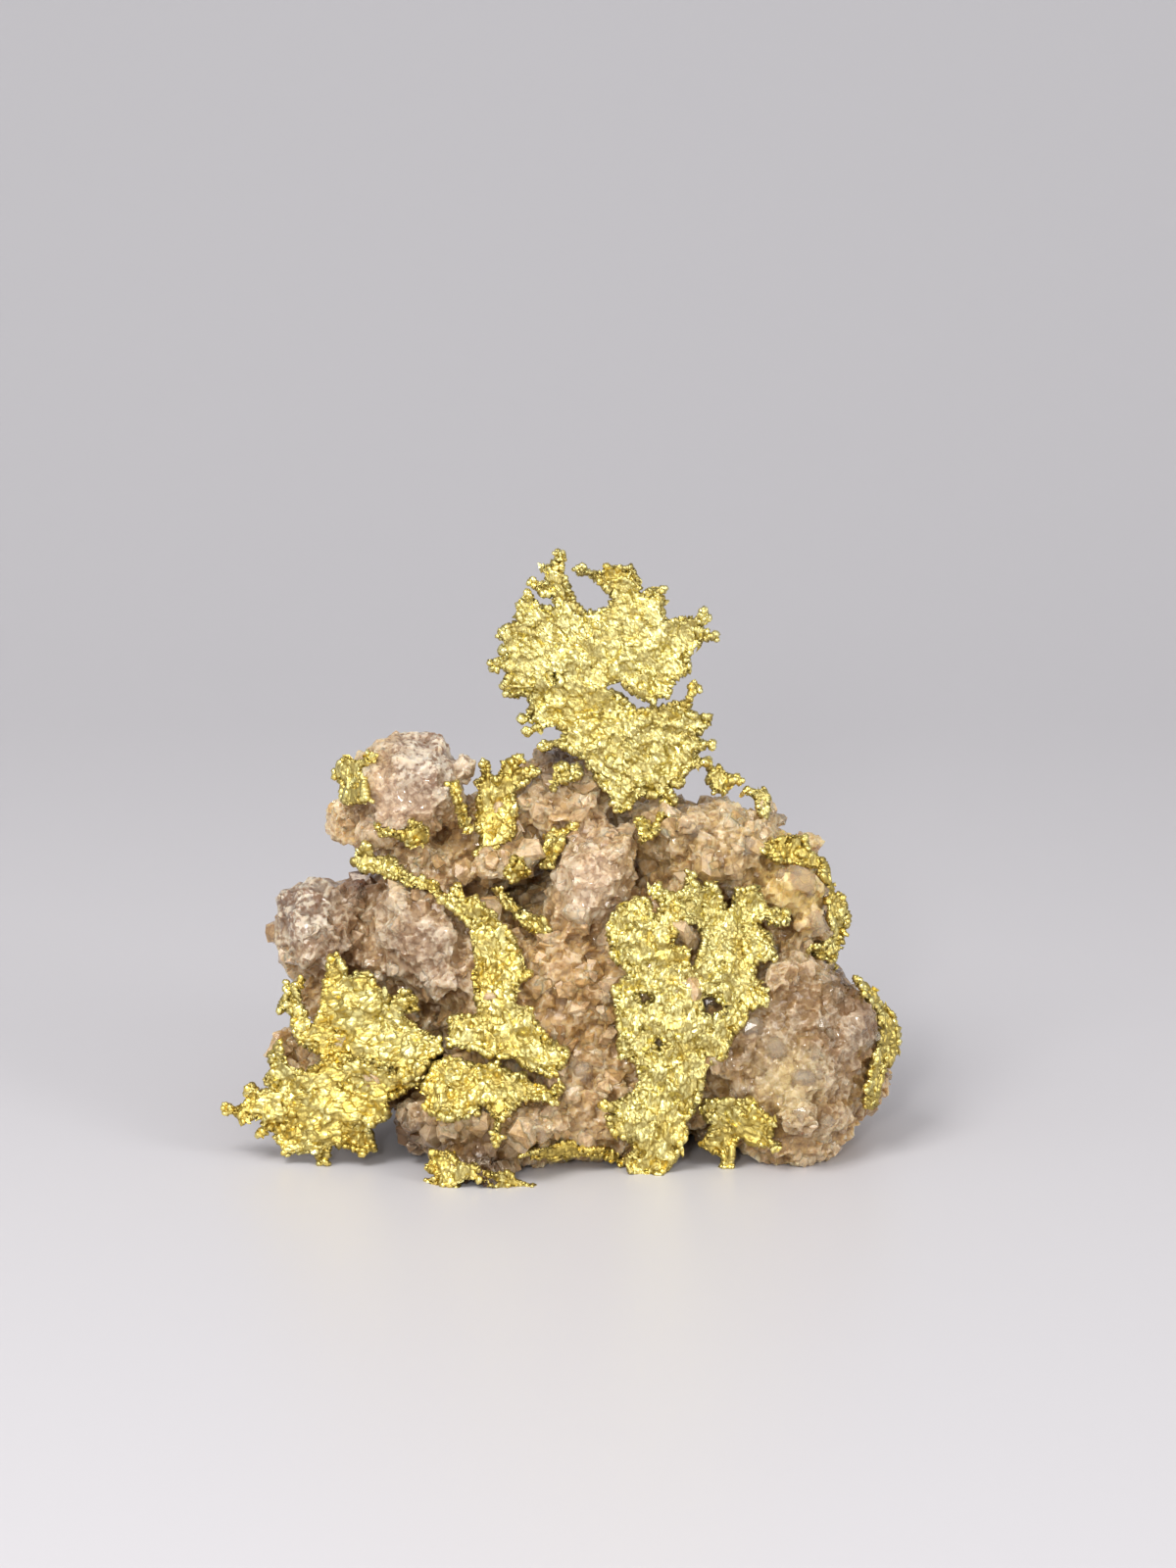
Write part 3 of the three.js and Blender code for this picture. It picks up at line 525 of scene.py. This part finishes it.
class Skin:
    """A mesh's points and normals as arrays in millimetres, for bending it all at once."""

    def __init__(self, mesh):
        self.mesh = mesh
        self.points = self.read(mesh.vertices, "co", 3) / MM
        self.edges = self.read(mesh.edges, "vertices", 2, np.int32)
        self.refresh()

    @staticmethod
    def read(items, key, width, kind=np.float32):
        values = np.zeros(len(items) * width, kind)
        items.foreach_get(key, values)
        return values.reshape(-1, width).astype(np.float64 if kind is np.float32 else kind)

    def refresh(self):
        """Writes the points to the mesh and takes its new normals."""
        self.mesh.vertices.foreach_set("co", (self.points * MM).astype(np.float32).ravel())
        self.mesh.update()
        self.normals = self.read(self.mesh.vertex_normals, "vector", 3)

    def neighbour_mean(self, values):
        """Each point's mean of values over the points beside it."""
        first, second = self.edges.T
        count = np.bincount(self.edges.ravel(), minlength=len(values))
        columns = []
        for column in values.T:
            total = np.bincount(first, column[second], len(values))
            total += np.bincount(second, column[first], len(values))
            columns.append(total / np.maximum(count, 1))
        return np.stack(columns, 1)

    def smoothed(self, values, passes):
        for _ in range(passes):
            values = 0.5 * values + 0.5 * self.neighbour_mean(values)
        return values

    def smooth(self, passes):
        self.points = self.smoothed(self.points, passes)
        self.refresh()

    def rolling(self, size, seed):
        """Soft noise at each point, about as much below zero as above."""
        shift = Vector([seed * step for step in NOISE_STEP])
        heights = [noise.fractal(Vector(point) / size + shift, *NOISE_LAYERS) for point in self.points]
        return np.array(heights)

    def swell(self, size, depth, seed):
        """Raises and lowers the surface in soft swellings."""
        self.points = self.points + self.normals * (depth * self.rolling(size, seed))[:, None]
        self.refresh()

    def crumple(self, size, depth, seed):
        """Bends the whole sheet to and fro along the line of sight, its front and back together."""
        heights = depth * (self.rolling(size, seed) + CRUMPLE_FORWARD)
        self.points = self.points - SIGHT * heights[:, None]
        self.refresh()

    def area(self):
        return sum(polygon.area for polygon in self.mesh.polygons) / MM**2

    def break_into_faces(self, size, tilt, limit, groove, random, reach=GROOVE_REACH, growth=None):
        """Breaks the surface into faces turned their own way, and gives their tones and the grooves."""
        seats = random.choice(len(self.points), int(self.area() / size**2), replace=False)
        turned = self.normals[seats] + tilt * random.normal(size=(len(seats), 3))
        turned /= np.linalg.norm(turned, axis=1)[:, None]
        places = self.points
        if growth is not None:
            places = places - GROWTH_SQUEEZE * (places @ growth)[:, None] * growth
        cell, inset = nearest_of(places[seats], places)
        facing = turned[cell]
        to_plane = np.einsum("ij,ij->i", self.points[seats][cell] - self.points, facing)
        lean = np.maximum(np.einsum("ij,ij->i", self.normals, facing), LEAST_LEAN)
        border = np.clip(1 - inset / (reach * size), 0, 1) ** 2
        lift = np.clip(to_plane / lean, -limit, limit) - groove * border
        self.points = self.points + self.normals * lift[:, None]
        self.refresh()
        return random.random(len(seats))[cell], border

    def even_seats(self, spacing, random):
        """Indices of points spread evenly over the surface, about a spacing apart."""
        order = random.permutation(len(self.points))
        boxes = np.floor(self.points[order] / spacing).astype(np.int64)
        front = (self.normals[order] @ SIGHT < 0).astype(np.int64)
        keys = np.column_stack((boxes, front))
        return order[np.unique(keys, axis=0, return_index=True)[1]]

    def fray(self, size, depth):
        """Eats small notches into the rim, which is where the surface turns over."""
        self.rim = np.clip(-self.hollowness(RIM_PASSES) / RIM_BEND, 0, 1)
        bites = np.array([noise.noise(Vector(point) / size) for point in self.points])
        self.points = self.points + self.normals * (depth * self.rim * (bites - FRAY_IN))[:, None]
        self.refresh()

    def thicken(self, depth):
        """Moves the whole surface out by a depth, or in where it is negative."""
        self.points = self.points + depth * self.normals
        self.refresh()

    def keep_above_floor(self):
        self.points[:, 2] = np.maximum(self.points[:, 2], 0)
        self.refresh()

    def hollowness(self, passes):
        """How far each point lies below the surface around it, in millimetres."""
        return np.einsum("ij,ij->i", self.smoothed(self.points, passes) - self.points, self.normals)

    def store(self, name, values):
        """Keeps a number for each point, for the materials to read."""
        attribute = self.mesh.attributes.new(name, "FLOAT", "POINT")
        attribute.data.foreach_set("value", np.ascontiguousarray(values, dtype=np.float32))

    def store_colour(self, name, values):
        attribute = self.mesh.attributes.new(name, "FLOAT_COLOR", "POINT")
        full = np.ones((len(values), 4), np.float32)
        full[:, :3] = values
        attribute.data.foreach_set("color", full.ravel())


def tree_of(skin):
    """A skin's faces in a tree that finds where a ray meets them."""
    faces = [face.vertices[:] for face in skin.mesh.polygons]
    return BVHTree.FromPolygons(skin.points.tolist(), faces)


def box_of(node):
    """The two corners of a solid's box, in millimetres."""
    return [np.array(corner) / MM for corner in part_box(node)]


def nearest_of(centres, points):
    """The centre nearest to each point, and how much further away the next one is."""
    tree = kdtree.KDTree(len(centres))
    for index, centre in enumerate(centres):
        tree.insert(centre, index)
    tree.balance()
    found = [tree.find_n(point, 2) for point in points]
    nearest = np.array([pair[0][1] for pair in found])
    inset = np.array([pair[1][2] - pair[0][2] for pair in found])
    return nearest, inset


def patch_shares(points):
    """How much each patch covers each point, from 0 to 1."""
    for patch in PATCHES.values():
        offset = points[:, (0, 2)] - np.array(patch["at"])
        reach = np.linalg.norm(offset, axis=1) / patch["radius"]
        yield patch, np.clip(PATCH_FADE - reach, 0, 1) * (points[:, 1] < PATCH_BACK)


def patch_value(key, points):
    """How smooth or how mottled the quartz is at each point: 1 is fully, below 0 is less than plain."""
    value = np.full(len(points), PLAIN_FINISH[key])
    for patch, share in patch_shares(points):
        value += share * (patch[key] - value)
    return value


def patch_tint(points, body):
    """The quartz's colour at each point: the body colour, with the patches laid over it, some of which
    are painted shadow.
    """
    tint = np.tile(np.array(body), (len(points), 1))
    for patch, share in patch_shares(points):
        tint += share[:, None] * (np.array(patch["tint"]) - tint)
    return tint


def polyhedra(count, corners, random):
    """Blunt polyhedra one millimetre across, their corners spread by the golden angle and jittered."""
    steps = np.arange(corners) + 0.5
    height = 1 - 2 * steps / corners
    angle = math.pi * (1 + math.sqrt(5)) * steps
    ring = np.sqrt(1 - height**2)
    even = np.stack((ring * np.cos(angle), ring * np.sin(angle), height), 1)
    shapes = []
    for _ in range(count):
        work = bmesh.new()
        for direction in even + CORNER_JITTER * random.normal(size=even.shape):
            work.verts.new(0.5 * direction / np.linalg.norm(direction))
        hull = bmesh.ops.convex_hull(work, input=work.verts)
        bmesh.ops.delete(work, geom=hull["geom_interior"], context="VERTS")
        shapes.append(shape_arrays(work))
    return shapes


def gold_shapes():
    """Crystals of gold about one millimetre across: an octahedron, a six-sided plate and a bead."""
    octahedron = bmesh.new()
    bmesh.ops.create_uvsphere(octahedron, u_segments=4, v_segments=2, radius=0.55)
    plate = bmesh.new()
    bmesh.ops.create_cone(plate, cap_ends=True, segments=6, radius1=0.52, radius2=0.34, depth=0.8)
    bead = bmesh.new()
    bmesh.ops.create_icosphere(bead, subdivisions=1, radius=0.5)
    return [shape_arrays(shape) for shape in (octahedron, plate, bead)]


def shape_arrays(work):
    """The points and triangles of a small shape, which is then freed."""
    bmesh.ops.triangulate(work, faces=work.faces)
    work.verts.index_update()
    points = np.array([vertex.co for vertex in work.verts])
    triangles = np.array([[vertex.index for vertex in face.verts] for face in work.faces])
    work.free()
    return points, triangles


def varied(least, extra, shape, random, power=1):
    """Random numbers from the least up. A higher power makes most of them small."""
    return least + extra * random.random(shape) ** power


def random_turns(count, random):
    """Rotation matrices that turn in every direction."""
    turns = random.random((count, 3)) * 2 * math.pi
    return np.array([Euler(turn).to_matrix() for turn in turns])


def turns_along(directions, random):
    """Rotation matrices whose Z follows the directions, spun at random about it."""
    ahead = directions / np.linalg.norm(directions, axis=1)[:, None]
    side = np.cross(ahead, random.normal(size=ahead.shape))
    side /= np.linalg.norm(side, axis=1)[:, None]
    return np.stack((side, np.cross(ahead, side), ahead), 2)


def branching_turns(normals, outward, random):
    """Rotation matrices with Z near the normal and X along the growth, or branching off it."""
    up = normals + SCALE_TILT * random.normal(size=normals.shape)
    up /= np.linalg.norm(up, axis=1)[:, None]
    ahead = outward - np.einsum("ij,ij->i", outward, up)[:, None] * up
    ahead /= np.linalg.norm(ahead, axis=1)[:, None] + TINY
    branch = BRANCH_ANGLE * random.integers(-1, 2, len(up))
    branch = branch + BRANCH_SPREAD * random.normal(size=len(up))
    ahead = ahead * np.cos(branch)[:, None] + np.cross(up, ahead) * np.sin(branch)[:, None]
    return np.stack((ahead, np.cross(up, ahead), up), 2)


def joined_copies(name, shapes, centres, turns, sizes, random):
    """One mesh of many small turned copies of the shapes, with a random tone for each copy."""
    picks = random.integers(len(shapes), size=len(centres))
    points, triangles, tones, owners, start = [], [], [], [], 0
    for index, (corners, faces) in enumerate(shapes):
        mine = np.flatnonzero(picks == index)
        sized = corners[None] * sizes[mine, None]
        placed = np.einsum("nij,nkj->nki", turns[mine], sized) + centres[mine, None]
        points.append(placed.reshape(-1, 3))
        steps = start + len(corners) * np.arange(len(mine))
        triangles.append((faces[None] + steps[:, None, None]).reshape(-1, 3))
        tones.append(np.repeat(random.random(len(mine)), len(corners)))
        owners.append(np.repeat(mine, len(corners)))
        start += len(mine) * len(corners)
    mesh = bpy.data.meshes.new(name)
    mesh.from_pydata((np.concatenate(points) * MM).tolist(), [], np.concatenate(triangles).tolist())
    skin = Skin(mesh)
    skin.store("tone", np.concatenate(tones))
    skin.owners = np.concatenate(owners)
    return skin


def scatter(skin, count, random, weight):
    """Indices of points at random over a skin, more where weight is larger."""
    most = min(count, np.count_nonzero(weight))
    return random.choice(len(skin.points), most, False, weight / weight.sum())


def add_piece(name, mesh, material, nodes=()):
    """Puts a finished mesh in the scene as a piece of the specimen."""
    mesh.materials.clear()
    mesh.materials.append(material)
    piece = bpy.data.objects.new(name, mesh)
    bpy.context.collection.objects.link(piece)
    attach(piece, "root")
    if nodes:
        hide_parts(*nodes)
    return piece


def quartz_material(name, settings, spread):
    """Granular quartz: tinted in patches, some of them painted shadow, with rusty specks, pale broken
    edges and painted warm shade in the crevices.
    """
    shader = Shader(name)
    hollow = shader.attribute("hollow")
    tone = shader.attribute("tone")
    mottled = shader.attribute("mottled")
    tint = shader.attribute("tint", "Color")
    cloud = shader.cloud(QUARTZ_CLOUD, 5.0)
    speck = shader.cloud(QUARTZ_SPECK, 3.0)
    fine = shader.cloud(QUARTZ_FINE, 2.0)
    height, inset = shader.facets(QUARTZ_FACET)
    # Pale faces stand proud, crevices get painted shade, and rusty specks lie anywhere
    frost = shader.ease(tone * 0.4 + cloud * 0.5 + speck * 0.6 - hollow * 1.6, 0.68, 1.0)
    stain = shader.ease((1 - speck) + (0.5 - cloud) * 0.5, 0.5, 0.6)
    shade = shader.ease(hollow * 1.5 + (0.5 - cloud) * 0.35, 0.0, 0.3)
    # Some edges of the grains are broken and pale, the others are stained
    edge = 1 - shader.ease(inset, 0.0, 0.13)
    pale_edge = edge * shader.ease(cloud + (tone - 0.5) * 0.4, 0.42, 0.58)
    base = shader.blend(frost * (0.25 + mottled * 0.5), tint, colour(settings.frost))
    base = shader.blend(pale_edge * (0.25 + mottled * 0.2), base, colour(settings.frost))
    base = shader.blend(stain * (0.25 + mottled * 0.55), base, colour(settings.stain))
    base = shader.blend((edge - pale_edge) * 0.35, base, colour(settings.stain))
    # Painted warm shade in the hollows, varied by the cloud noise
    base = shader.blend(shade * 0.6, base, colour(settings.painted_crevice_shade))
    return shader.surface(
        Base_Color=base,
        Roughness=0.14 + fine * 0.25 + mottled * 0.2,
        IOR=QUARTZ_IOR,
        Specular_Tint=(1.0, 0.82, 0.6, 1.0),
        Coat_Weight=0.4,
        Coat_Roughness=0.06,
        Subsurface_Weight=0.8,
        Subsurface_Radius=(1.0, 0.72, 0.5),
        Subsurface_Scale=spread,
        Normal=shader.bump(height * 0.6 + fine * (0.015 * MM) + speck * (0.03 * MM), 1.0, 0.7),
    )


def clear_material():
    """Clear quartz grains, faintly yellow."""
    shader = Shader("clear quartz")
    return shader.surface(
        Base_Color=(0.95, 0.82, 0.6, 1.0),
        Roughness=0.1,
        IOR=QUARTZ_IOR,
        Transmission_Weight=0.85,
    )


def gold_material(name, settings, depth):
    """Bright native gold: fine crystal faces with painted shade in the seams between them, deeper yellow
    in places.
    """
    shader = Shader(name)
    shade = shader.attribute("shade")
    tone = shader.attribute("tone")
    cloud = shader.cloud(GOLD_CLOUD, 3.0)
    fine = shader.cloud(GOLD_FINE, 2.0)
    height, inset = shader.facets(GOLD_FACET, GOLD_STRETCH)
    # Painted shade along the edges of the shader's crystal faces
    painted_seam_shade = 1 - shader.ease(inset, 0.0, 0.11)
    # The gold is deeper in colour near the ground
    low = 1 - shader.ease(shader.height(), GOLD_LOW, GOLD_HIGH)
    rich = shader.ease(cloud + (tone - 0.5) * 0.4 + depth + low * 0.12, 0.45, 0.95)
    base = shader.blend(rich, colour(settings.bright), colour(settings.rich))
    # Painted shade in the grooves between plates and ripples, then in the seams
    base = shader.blend(shader.ease(shade, 0.4, 0.95) * 0.65, base, colour(settings.painted_crease_shade))
    base = shader.blend(painted_seam_shade * (0.65 - depth), base, colour(settings.painted_crease_shade))
    return shader.surface(
        Base_Color=base,
        Metallic=1.0,
        Roughness=0.2 + tone * 0.1 + fine * 0.1 + shade * 0.15,
        Normal=shader.bump(height * 0.5 + fine * (0.008 * MM), 1.0, 0.6),
    )


class SPECIMEN_OT_quartz(bpy.types.Operator):
    """Make the quartz lump and the grains that stand out of it"""

    bl_idname = "specimen.quartz"
    bl_label = "Quartz"

    def execute(self, context):
        settings = context.scene.specimen_quartz
        random = np.random.default_rng(QUARTZ_SEED)
        skin = self.rock(settings, random)
        material = quartz_material("granular quartz", settings, ROCK_SPREAD)
        add_piece("quartz_rock", skin.mesh, material, [QUARTZ_NODE])
        self.grains(skin, settings, random)
        self.clear_grains(skin, settings, random)
        return {"FINISHED"}

    def rock(self, settings, random):
        """The quartz lump, swollen and broken into grain faces."""
        skin = Skin(evenly_meshed(merged_copy(QUARTZ_NODE), settings.voxel))
        skin.smooth(passes=4)
        skin.swell(settings.lump_size / MM, settings.lump_depth / MM, ROCK_NOISE)
        grain = settings.grain_size / MM
        tilt = settings.grain_tilt
        rough = 1 - SMOOTHING * patch_value("smooth", skin.points)
        tone, _ = skin.break_into_faces(grain, tilt, GRAIN_LIFT * rough, GRAIN_GROOVE * rough, random)
        skin.smooth(passes=1)
        fine_tone, _ = skin.break_into_faces(0.5 * grain, tilt, FINE_LIFT, FINE_GROOVE * rough, random)
        skin.thicken(-ROCK_SETBACK)
        skin.keep_above_floor()
        skin.hollow = 0.5 * skin.hollowness(WIDE_HOLLOW) + skin.hollowness(NARROW_HOLLOW)
        skin.store("tone", 0.5 * tone + 0.5 * fine_tone)
        skin.store("hollow", skin.hollow)
        skin.store("mottled", patch_value("mottled", skin.points))
        skin.store_colour("tint", patch_tint(skin.points, settings.body))
        skin.mesh.shade_smooth()
        skin.mesh.set_sharp_from_angle(angle=SHARP_EDGE)
        return skin

    def grains(self, skin, settings, random):
        """Small blunt grains, sunk in the lump so that only their tops show."""
        smooth = patch_value("smooth", skin.points)
        seats = scatter(skin, settings.loose_grains, random, GRAIN_COVER - smooth)
        smooth = smooth[seats, None]
        extra = GRAIN_EXTRA - SMOOTH_EXTRA_LOSS * smooth
        sizes = varied(GRAIN_LEAST, extra, (len(seats), 1), random, 2)
        centres = skin.points[seats] - (GRAIN_SINK + SMOOTH_SINK * smooth) * sizes * skin.normals[seats]
        sizes = sizes * varied(*UNEVEN, (len(seats), 3), random)
        turns = random_turns(len(seats), random)
        shapes = polyhedra(count=10, corners=12, random=random)
        grains = joined_copies("quartz_grains", shapes, centres, turns, sizes, random)
        grains.keep_above_floor()
        grains.store("hollow", skin.hollow[seats][grains.owners])
        grains.store("mottled", patch_value("mottled", grains.points))
        grains.store_colour("tint", patch_tint(grains.points, settings.body))
        material = quartz_material("loose quartz grains", settings, GRAIN_SPREAD)
        add_piece("quartz_grains", grains.mesh, material)

    def clear_grains(self, skin, settings, random):
        """See-through grains, mostly on the right-hand side."""
        right = np.clip((skin.points[:, 0] - CLEAR_FROM) / (CLEAR_FULL - CLEAR_FROM), 0, 1)
        right = right * (skin.points[:, 2] > CLEAR_LOWEST) * (skin.hollow < CLEAR_HOLLOW)
        seats = scatter(skin, settings.clear_grains, random, right)
        sizes = varied(*CLEAR_SIZE, (len(seats), 1), random, 2)
        sizes = sizes * varied(*UNEVEN, (len(seats), 3), random)
        turns = random_turns(len(seats), random)
        shapes = polyhedra(count=8, corners=10, random=random)
        centres = skin.points[seats] - CLEAR_SINK * sizes * skin.normals[seats]
        grains = joined_copies("clear_grains", shapes, centres, turns, sizes, random)
        grains.keep_above_floor()
        material = clear_material()
        add_piece("clear_grains", grains.mesh, material)
        self.large_grains(skin, random, material)

    def large_grains(self, skin, random, material):
        """The few larger see-through grains that stand out on the front."""
        rock = tree_of(skin)
        centres, sizes = [], []
        for grain in LARGE_GRAINS:
            across, up = grain["at"]
            start = sight_place(across, SIGHT_START, up)
            seat = np.array(rock.ray_cast(Vector(start), Vector(SIGHT))[0])
            centres.append(seat + CLEAR_SINK * grain["size"][1] * SIGHT)
            sizes.append(grain["size"])
        turns = [Matrix.Rotation(grain["turn"], 3, SIGHT) for grain in LARGE_GRAINS]
        shapes = polyhedra(count=3, corners=18, random=random)
        grains = joined_copies(
            "large_grains", shapes, np.array(centres), np.array(turns), np.array(sizes), random
        )
        add_piece("large_grains", grains.mesh, material)


class SPECIMEN_OT_gold(bpy.types.Operator):
    """Make the crinkled gold leaves and the crystals on them"""

    bl_idname = "specimen.gold"
    bl_label = "Gold leaves"

    def execute(self, context):
        settings = context.scene.specimen_gold
        pale = gold_material("pale gold", settings, 0.0)
        deep = gold_material("deep gold", settings, DEEPER)
        shapes = gold_shapes()
        rock = tree_of(Skin(bpy.data.objects["quartz_rock"].data))
        for number, node in enumerate(LEAF_NODES):
            random = np.random.default_rng(GOLD_SEED + number)
            material = pale if node in PALE_LEAVES else deep
            skin = self.leaf(node, settings, rock, random)
            add_piece(node + "_foil", skin.mesh, material, [node])
            self.crystals(node, skin, settings, shapes, random, material)
        return {"FINISHED"}

    def root(self, node):
        """The point that a leaf's crystals fan out from, in millimetres."""
        low, high = box_of(node)
        return low + np.array(FAN_ROOTS.get(node, USUAL_ROOT)) * (high - low)

    def growth(self, node):
        """The direction that a leaf grew in, from its root to its middle."""
        low, high = box_of(node)
        growth = (low + high) / 2 - self.root(node)
        return growth / np.linalg.norm(growth)

    def leaf(self, node, settings, rock, random):
        """One leaf's sheet: thinned, frayed, crumpled, pressed onto the quartz and rippled."""
        skin = Skin(evenly_meshed(merged_copy(node), settings.voxel))
        skin.smooth(passes=2)
        skin.thicken(-settings.thinning / MM)
        skin.fray(FRAY_SIZE, settings.fray_depth / MM)
        skin.crumple(settings.crumple_size / MM, settings.crumple_depth / MM, LEAF_NOISE)
        self.seat(skin, rock)
        tone, plate_edge = skin.break_into_faces(settings.plate_size / MM, random=random, **PLATES)
        ripple = settings.ripple_size / MM * (1 if node in PALE_LEAVES else COARSER)
        growth = self.growth(node)
        fine_tone, groove = skin.break_into_faces(ripple, random=random, growth=growth, **RIPPLES)
        skin.keep_above_floor()
        skin.store("tone", 0.5 * tone + 0.5 * fine_tone)
        # The grooves between plates and ripples, kept for the painted shade in the gold's colour
        skin.store("shade", np.maximum(0.5 * plate_edge, groove))
        skin.mesh.shade_smooth()
        return skin

    def seat(self, skin, rock):
        """Presses a leaf back along the line of sight until a little of it is in the quartz."""
        back = skin.points[skin.normals @ SIGHT > SEAT_FACING][::SEAT_STEP]
        gaps = [rock.ray_cast(Vector(point), Vector(SIGHT))[3] for point in back]
        gaps = [gap for gap in gaps if gap is not None]
        if gaps and min(gaps) < SEAT_MOST:
            near = [gap for gap in gaps if gap < min(gaps) + SEAT_BAND]
            skin.points = skin.points + np.quantile(near, SEAT_SHARE) * SIGHT
            skin.refresh()

    def crystals(self, node, skin, settings, shapes, random, material):
        """Crystal scales on the leaf, and rounded teeth along its rim."""
        scales = self.scales(node, skin, settings, shapes, random)
        teeth = self.teeth(node, skin, settings, shapes, random)
        for piece in (scales, teeth):
            piece.keep_above_floor()
            piece.store("shade", np.zeros(len(piece.points)))
            add_piece(piece.mesh.name, piece.mesh, material)

    def scales(self, node, skin, settings, shapes, random):
        """Small flat crystals along the leaf's growth: all along the rim, and a few elsewhere."""
        seats = skin.even_seats(settings.scale_spacing / MM, random)
        kept = random.random(len(seats)) < settings.scale_share
        seats = seats[(skin.rim[seats] > RIM_START) | kept]
        count = len(seats)
        length = settings.scale_length / MM * varied(*SCALE_LENGTH, count, random)
        length = length * (1 - RIM_SHRINK * skin.rim[seats])
        width = length * varied(*SCALE_WIDTH, count, random)
        sizes = np.stack((length, width, varied(*SCALE_DEPTH, count, random)), 1)
        outward = skin.points[seats] - self.root(node)
        turns = branching_turns(skin.normals[seats], outward, random)
        return joined_copies(node + "_scales", shapes[:2], skin.points[seats], turns, sizes, random)

    def teeth(self, node, skin, settings, shapes, random):
        """Rounded teeth that stand out from the leaf's rim."""
        wanted = int(settings.rim_teeth * skin.area())
        seats = scatter(skin, wanted, random, skin.rim**2 + RIM_FLOOR)
        count = len(seats)
        length = settings.tooth_length / MM * varied(*TOOTH_LENGTH, count, random, 2)
        width = varied(*TOOTH_WIDTH, count, random)
        sizes = np.stack((width, TOOTH_FLATNESS * width, length), 1)
        leaning = skin.normals[seats] + TOOTH_LEAN * random.normal(size=(count, 3))
        turns = turns_along(leaning, random)
        teeth = joined_copies(node + "_teeth", shapes[2:], skin.points[seats], turns, sizes, random)
        teeth.mesh.shade_smooth()
        return teeth


class SPECIMEN_OT_stage(bpy.types.Operator):
    """Make the floor, the backdrop, the lights and the camera"""

    bl_idname = "specimen.stage"
    bl_label = "Stage"

    def execute(self, context):
        settings = context.scene.specimen_stage
        self.cove(settings)
        self.sky(context.scene)
        for name, lamp in LAMPS.items():
            self.softbox(name, **lamp)
        self.camera(context.scene, settings)
        return {"FINISHED"}

    def cove(self, settings):
        """A pale floor that curves up into a backdrop."""
        work = bmesh.new()
        ends = [work.verts.new((side, -COVE_REACH, 0)) for side in (-COVE_REACH, COVE_REACH)]
        edges = [work.edges.new(ends)]
        edges = self.pushed(work, edges, (0, COVE_REACH + COVE_START, 0))
        centre = (0, COVE_START, COVE_RADIUS)
        turned = bmesh.ops.spin(
            work,
            geom=edges,
            cent=centre,
            axis=(1, 0, 0),
            angle=math.pi / 2,
            steps=COVE_STEPS,
            use_merge=False,
        )
        edges = [item for item in turned["geom_last"] if isinstance(item, bmesh.types.BMEdge)]
        self.pushed(work, edges, (0, 0, COVE_REACH))
        bmesh.ops.recalc_face_normals(work, faces=work.faces)
        mesh = bpy.data.meshes.new("cove")
        work.to_mesh(mesh)
        work.free()
        mesh.shade_smooth()
        shader = Shader("pale floor")
        floor = shader.surface(Base_Color=colour(settings.floor), Roughness=FLOOR_ROUGHNESS)
        mesh.materials.append(floor)
        cove = bpy.data.objects.new("cove", mesh)
        bpy.context.collection.objects.link(cove)

    def pushed(self, work, edges, step):
        """Extrudes edges by a step and gives the new ones."""
        made = bmesh.ops.extrude_edge_only(work, edges=edges)["geom"]
        points = [item for item in made if isinstance(item, bmesh.types.BMVert)]
        bmesh.ops.translate(work, verts=points, vec=step)
        return [item for item in made if isinstance(item, bmesh.types.BMEdge) and item.is_boundary]

    def sky(self, scene):
        """Even soft light from all round."""
        world = bpy.data.worlds.new("soft light")
        world.use_nodes = True
        background = world.node_tree.nodes["Background"]
        background.inputs["Color"].default_value = SKY_COLOUR
        background.inputs["Strength"].default_value = SKY_STRENGTH
        scene.world = world

    def softbox(self, name, place, width, power):
        """A square light at a place in millimetres, turned to the specimen."""
        light = bpy.data.lights.new(name, "AREA")
        light.size = width * MM
        light.energy = power
        lamp = bpy.data.objects.new(name, light)
        lamp.location = Vector(place) * MM
        lamp.rotation_euler = (LAMP_AIM - lamp.location).to_track_quat("-Z", "Y").to_euler()
        bpy.context.collection.objects.link(lamp)

    def camera(self, scene, settings):
        """The camera, which looks down on the best face by the sight tilt."""
        lens = bpy.data.cameras.new("camera")
        lens.lens = lens.sensor_width * settings.distance / settings.picture_height
        lens.clip_start = CLIP_START
        eye = bpy.data.objects.new("camera", lens)
        eye.location = Vector(settings.aim) - Vector(SIGHT) * settings.distance
        eye.rotation_euler = Vector(SIGHT).to_track_quat("-Z", "Y").to_euler()
        bpy.context.collection.objects.link(eye)
        scene.camera = eye
        scene.view_settings.view_transform = "Standard"


class SPECIMEN_PT_panel(bpy.types.Panel):
    """The specimen's settings and steps"""

    bl_idname = "SPECIMEN_PT_panel"
    bl_label = "Leaf Gold Specimen"
    bl_space_type = "VIEW_3D"
    bl_region_type = "UI"
    bl_category = "Specimen"

    def draw(self, context):
        for name, step in STEPS.items():
            self.layout.label(text=step.bl_label)
            settings = getattr(context.scene, name)
            for key in settings.__annotations__:
                self.layout.prop(settings, key)
            self.layout.operator(step.bl_idname)


STEPS = {
    "specimen_quartz": SPECIMEN_OT_quartz,
    "specimen_gold": SPECIMEN_OT_gold,
    "specimen_stage": SPECIMEN_OT_stage,
}
SETTINGS = {
    "specimen_quartz": QuartzSettings,
    "specimen_gold": GoldSettings,
    "specimen_stage": StageSettings,
}


def register():
    for made in (*SETTINGS.values(), *STEPS.values(), SPECIMEN_PT_panel):
        bpy.utils.register_class(made)
    for name, group in SETTINGS.items():
        setattr(bpy.types.Scene, name, PointerProperty(type=group))


def unregister():
    for name in SETTINGS:
        delattr(bpy.types.Scene, name)
    for made in (SPECIMEN_PT_panel, *STEPS.values(), *SETTINGS.values()):
        bpy.utils.unregister_class(made)


def main():
    register()
    bpy.ops.specimen.quartz()
    bpy.ops.specimen.gold()
    bpy.ops.specimen.stage()


if __name__ == "__main__":
    main()
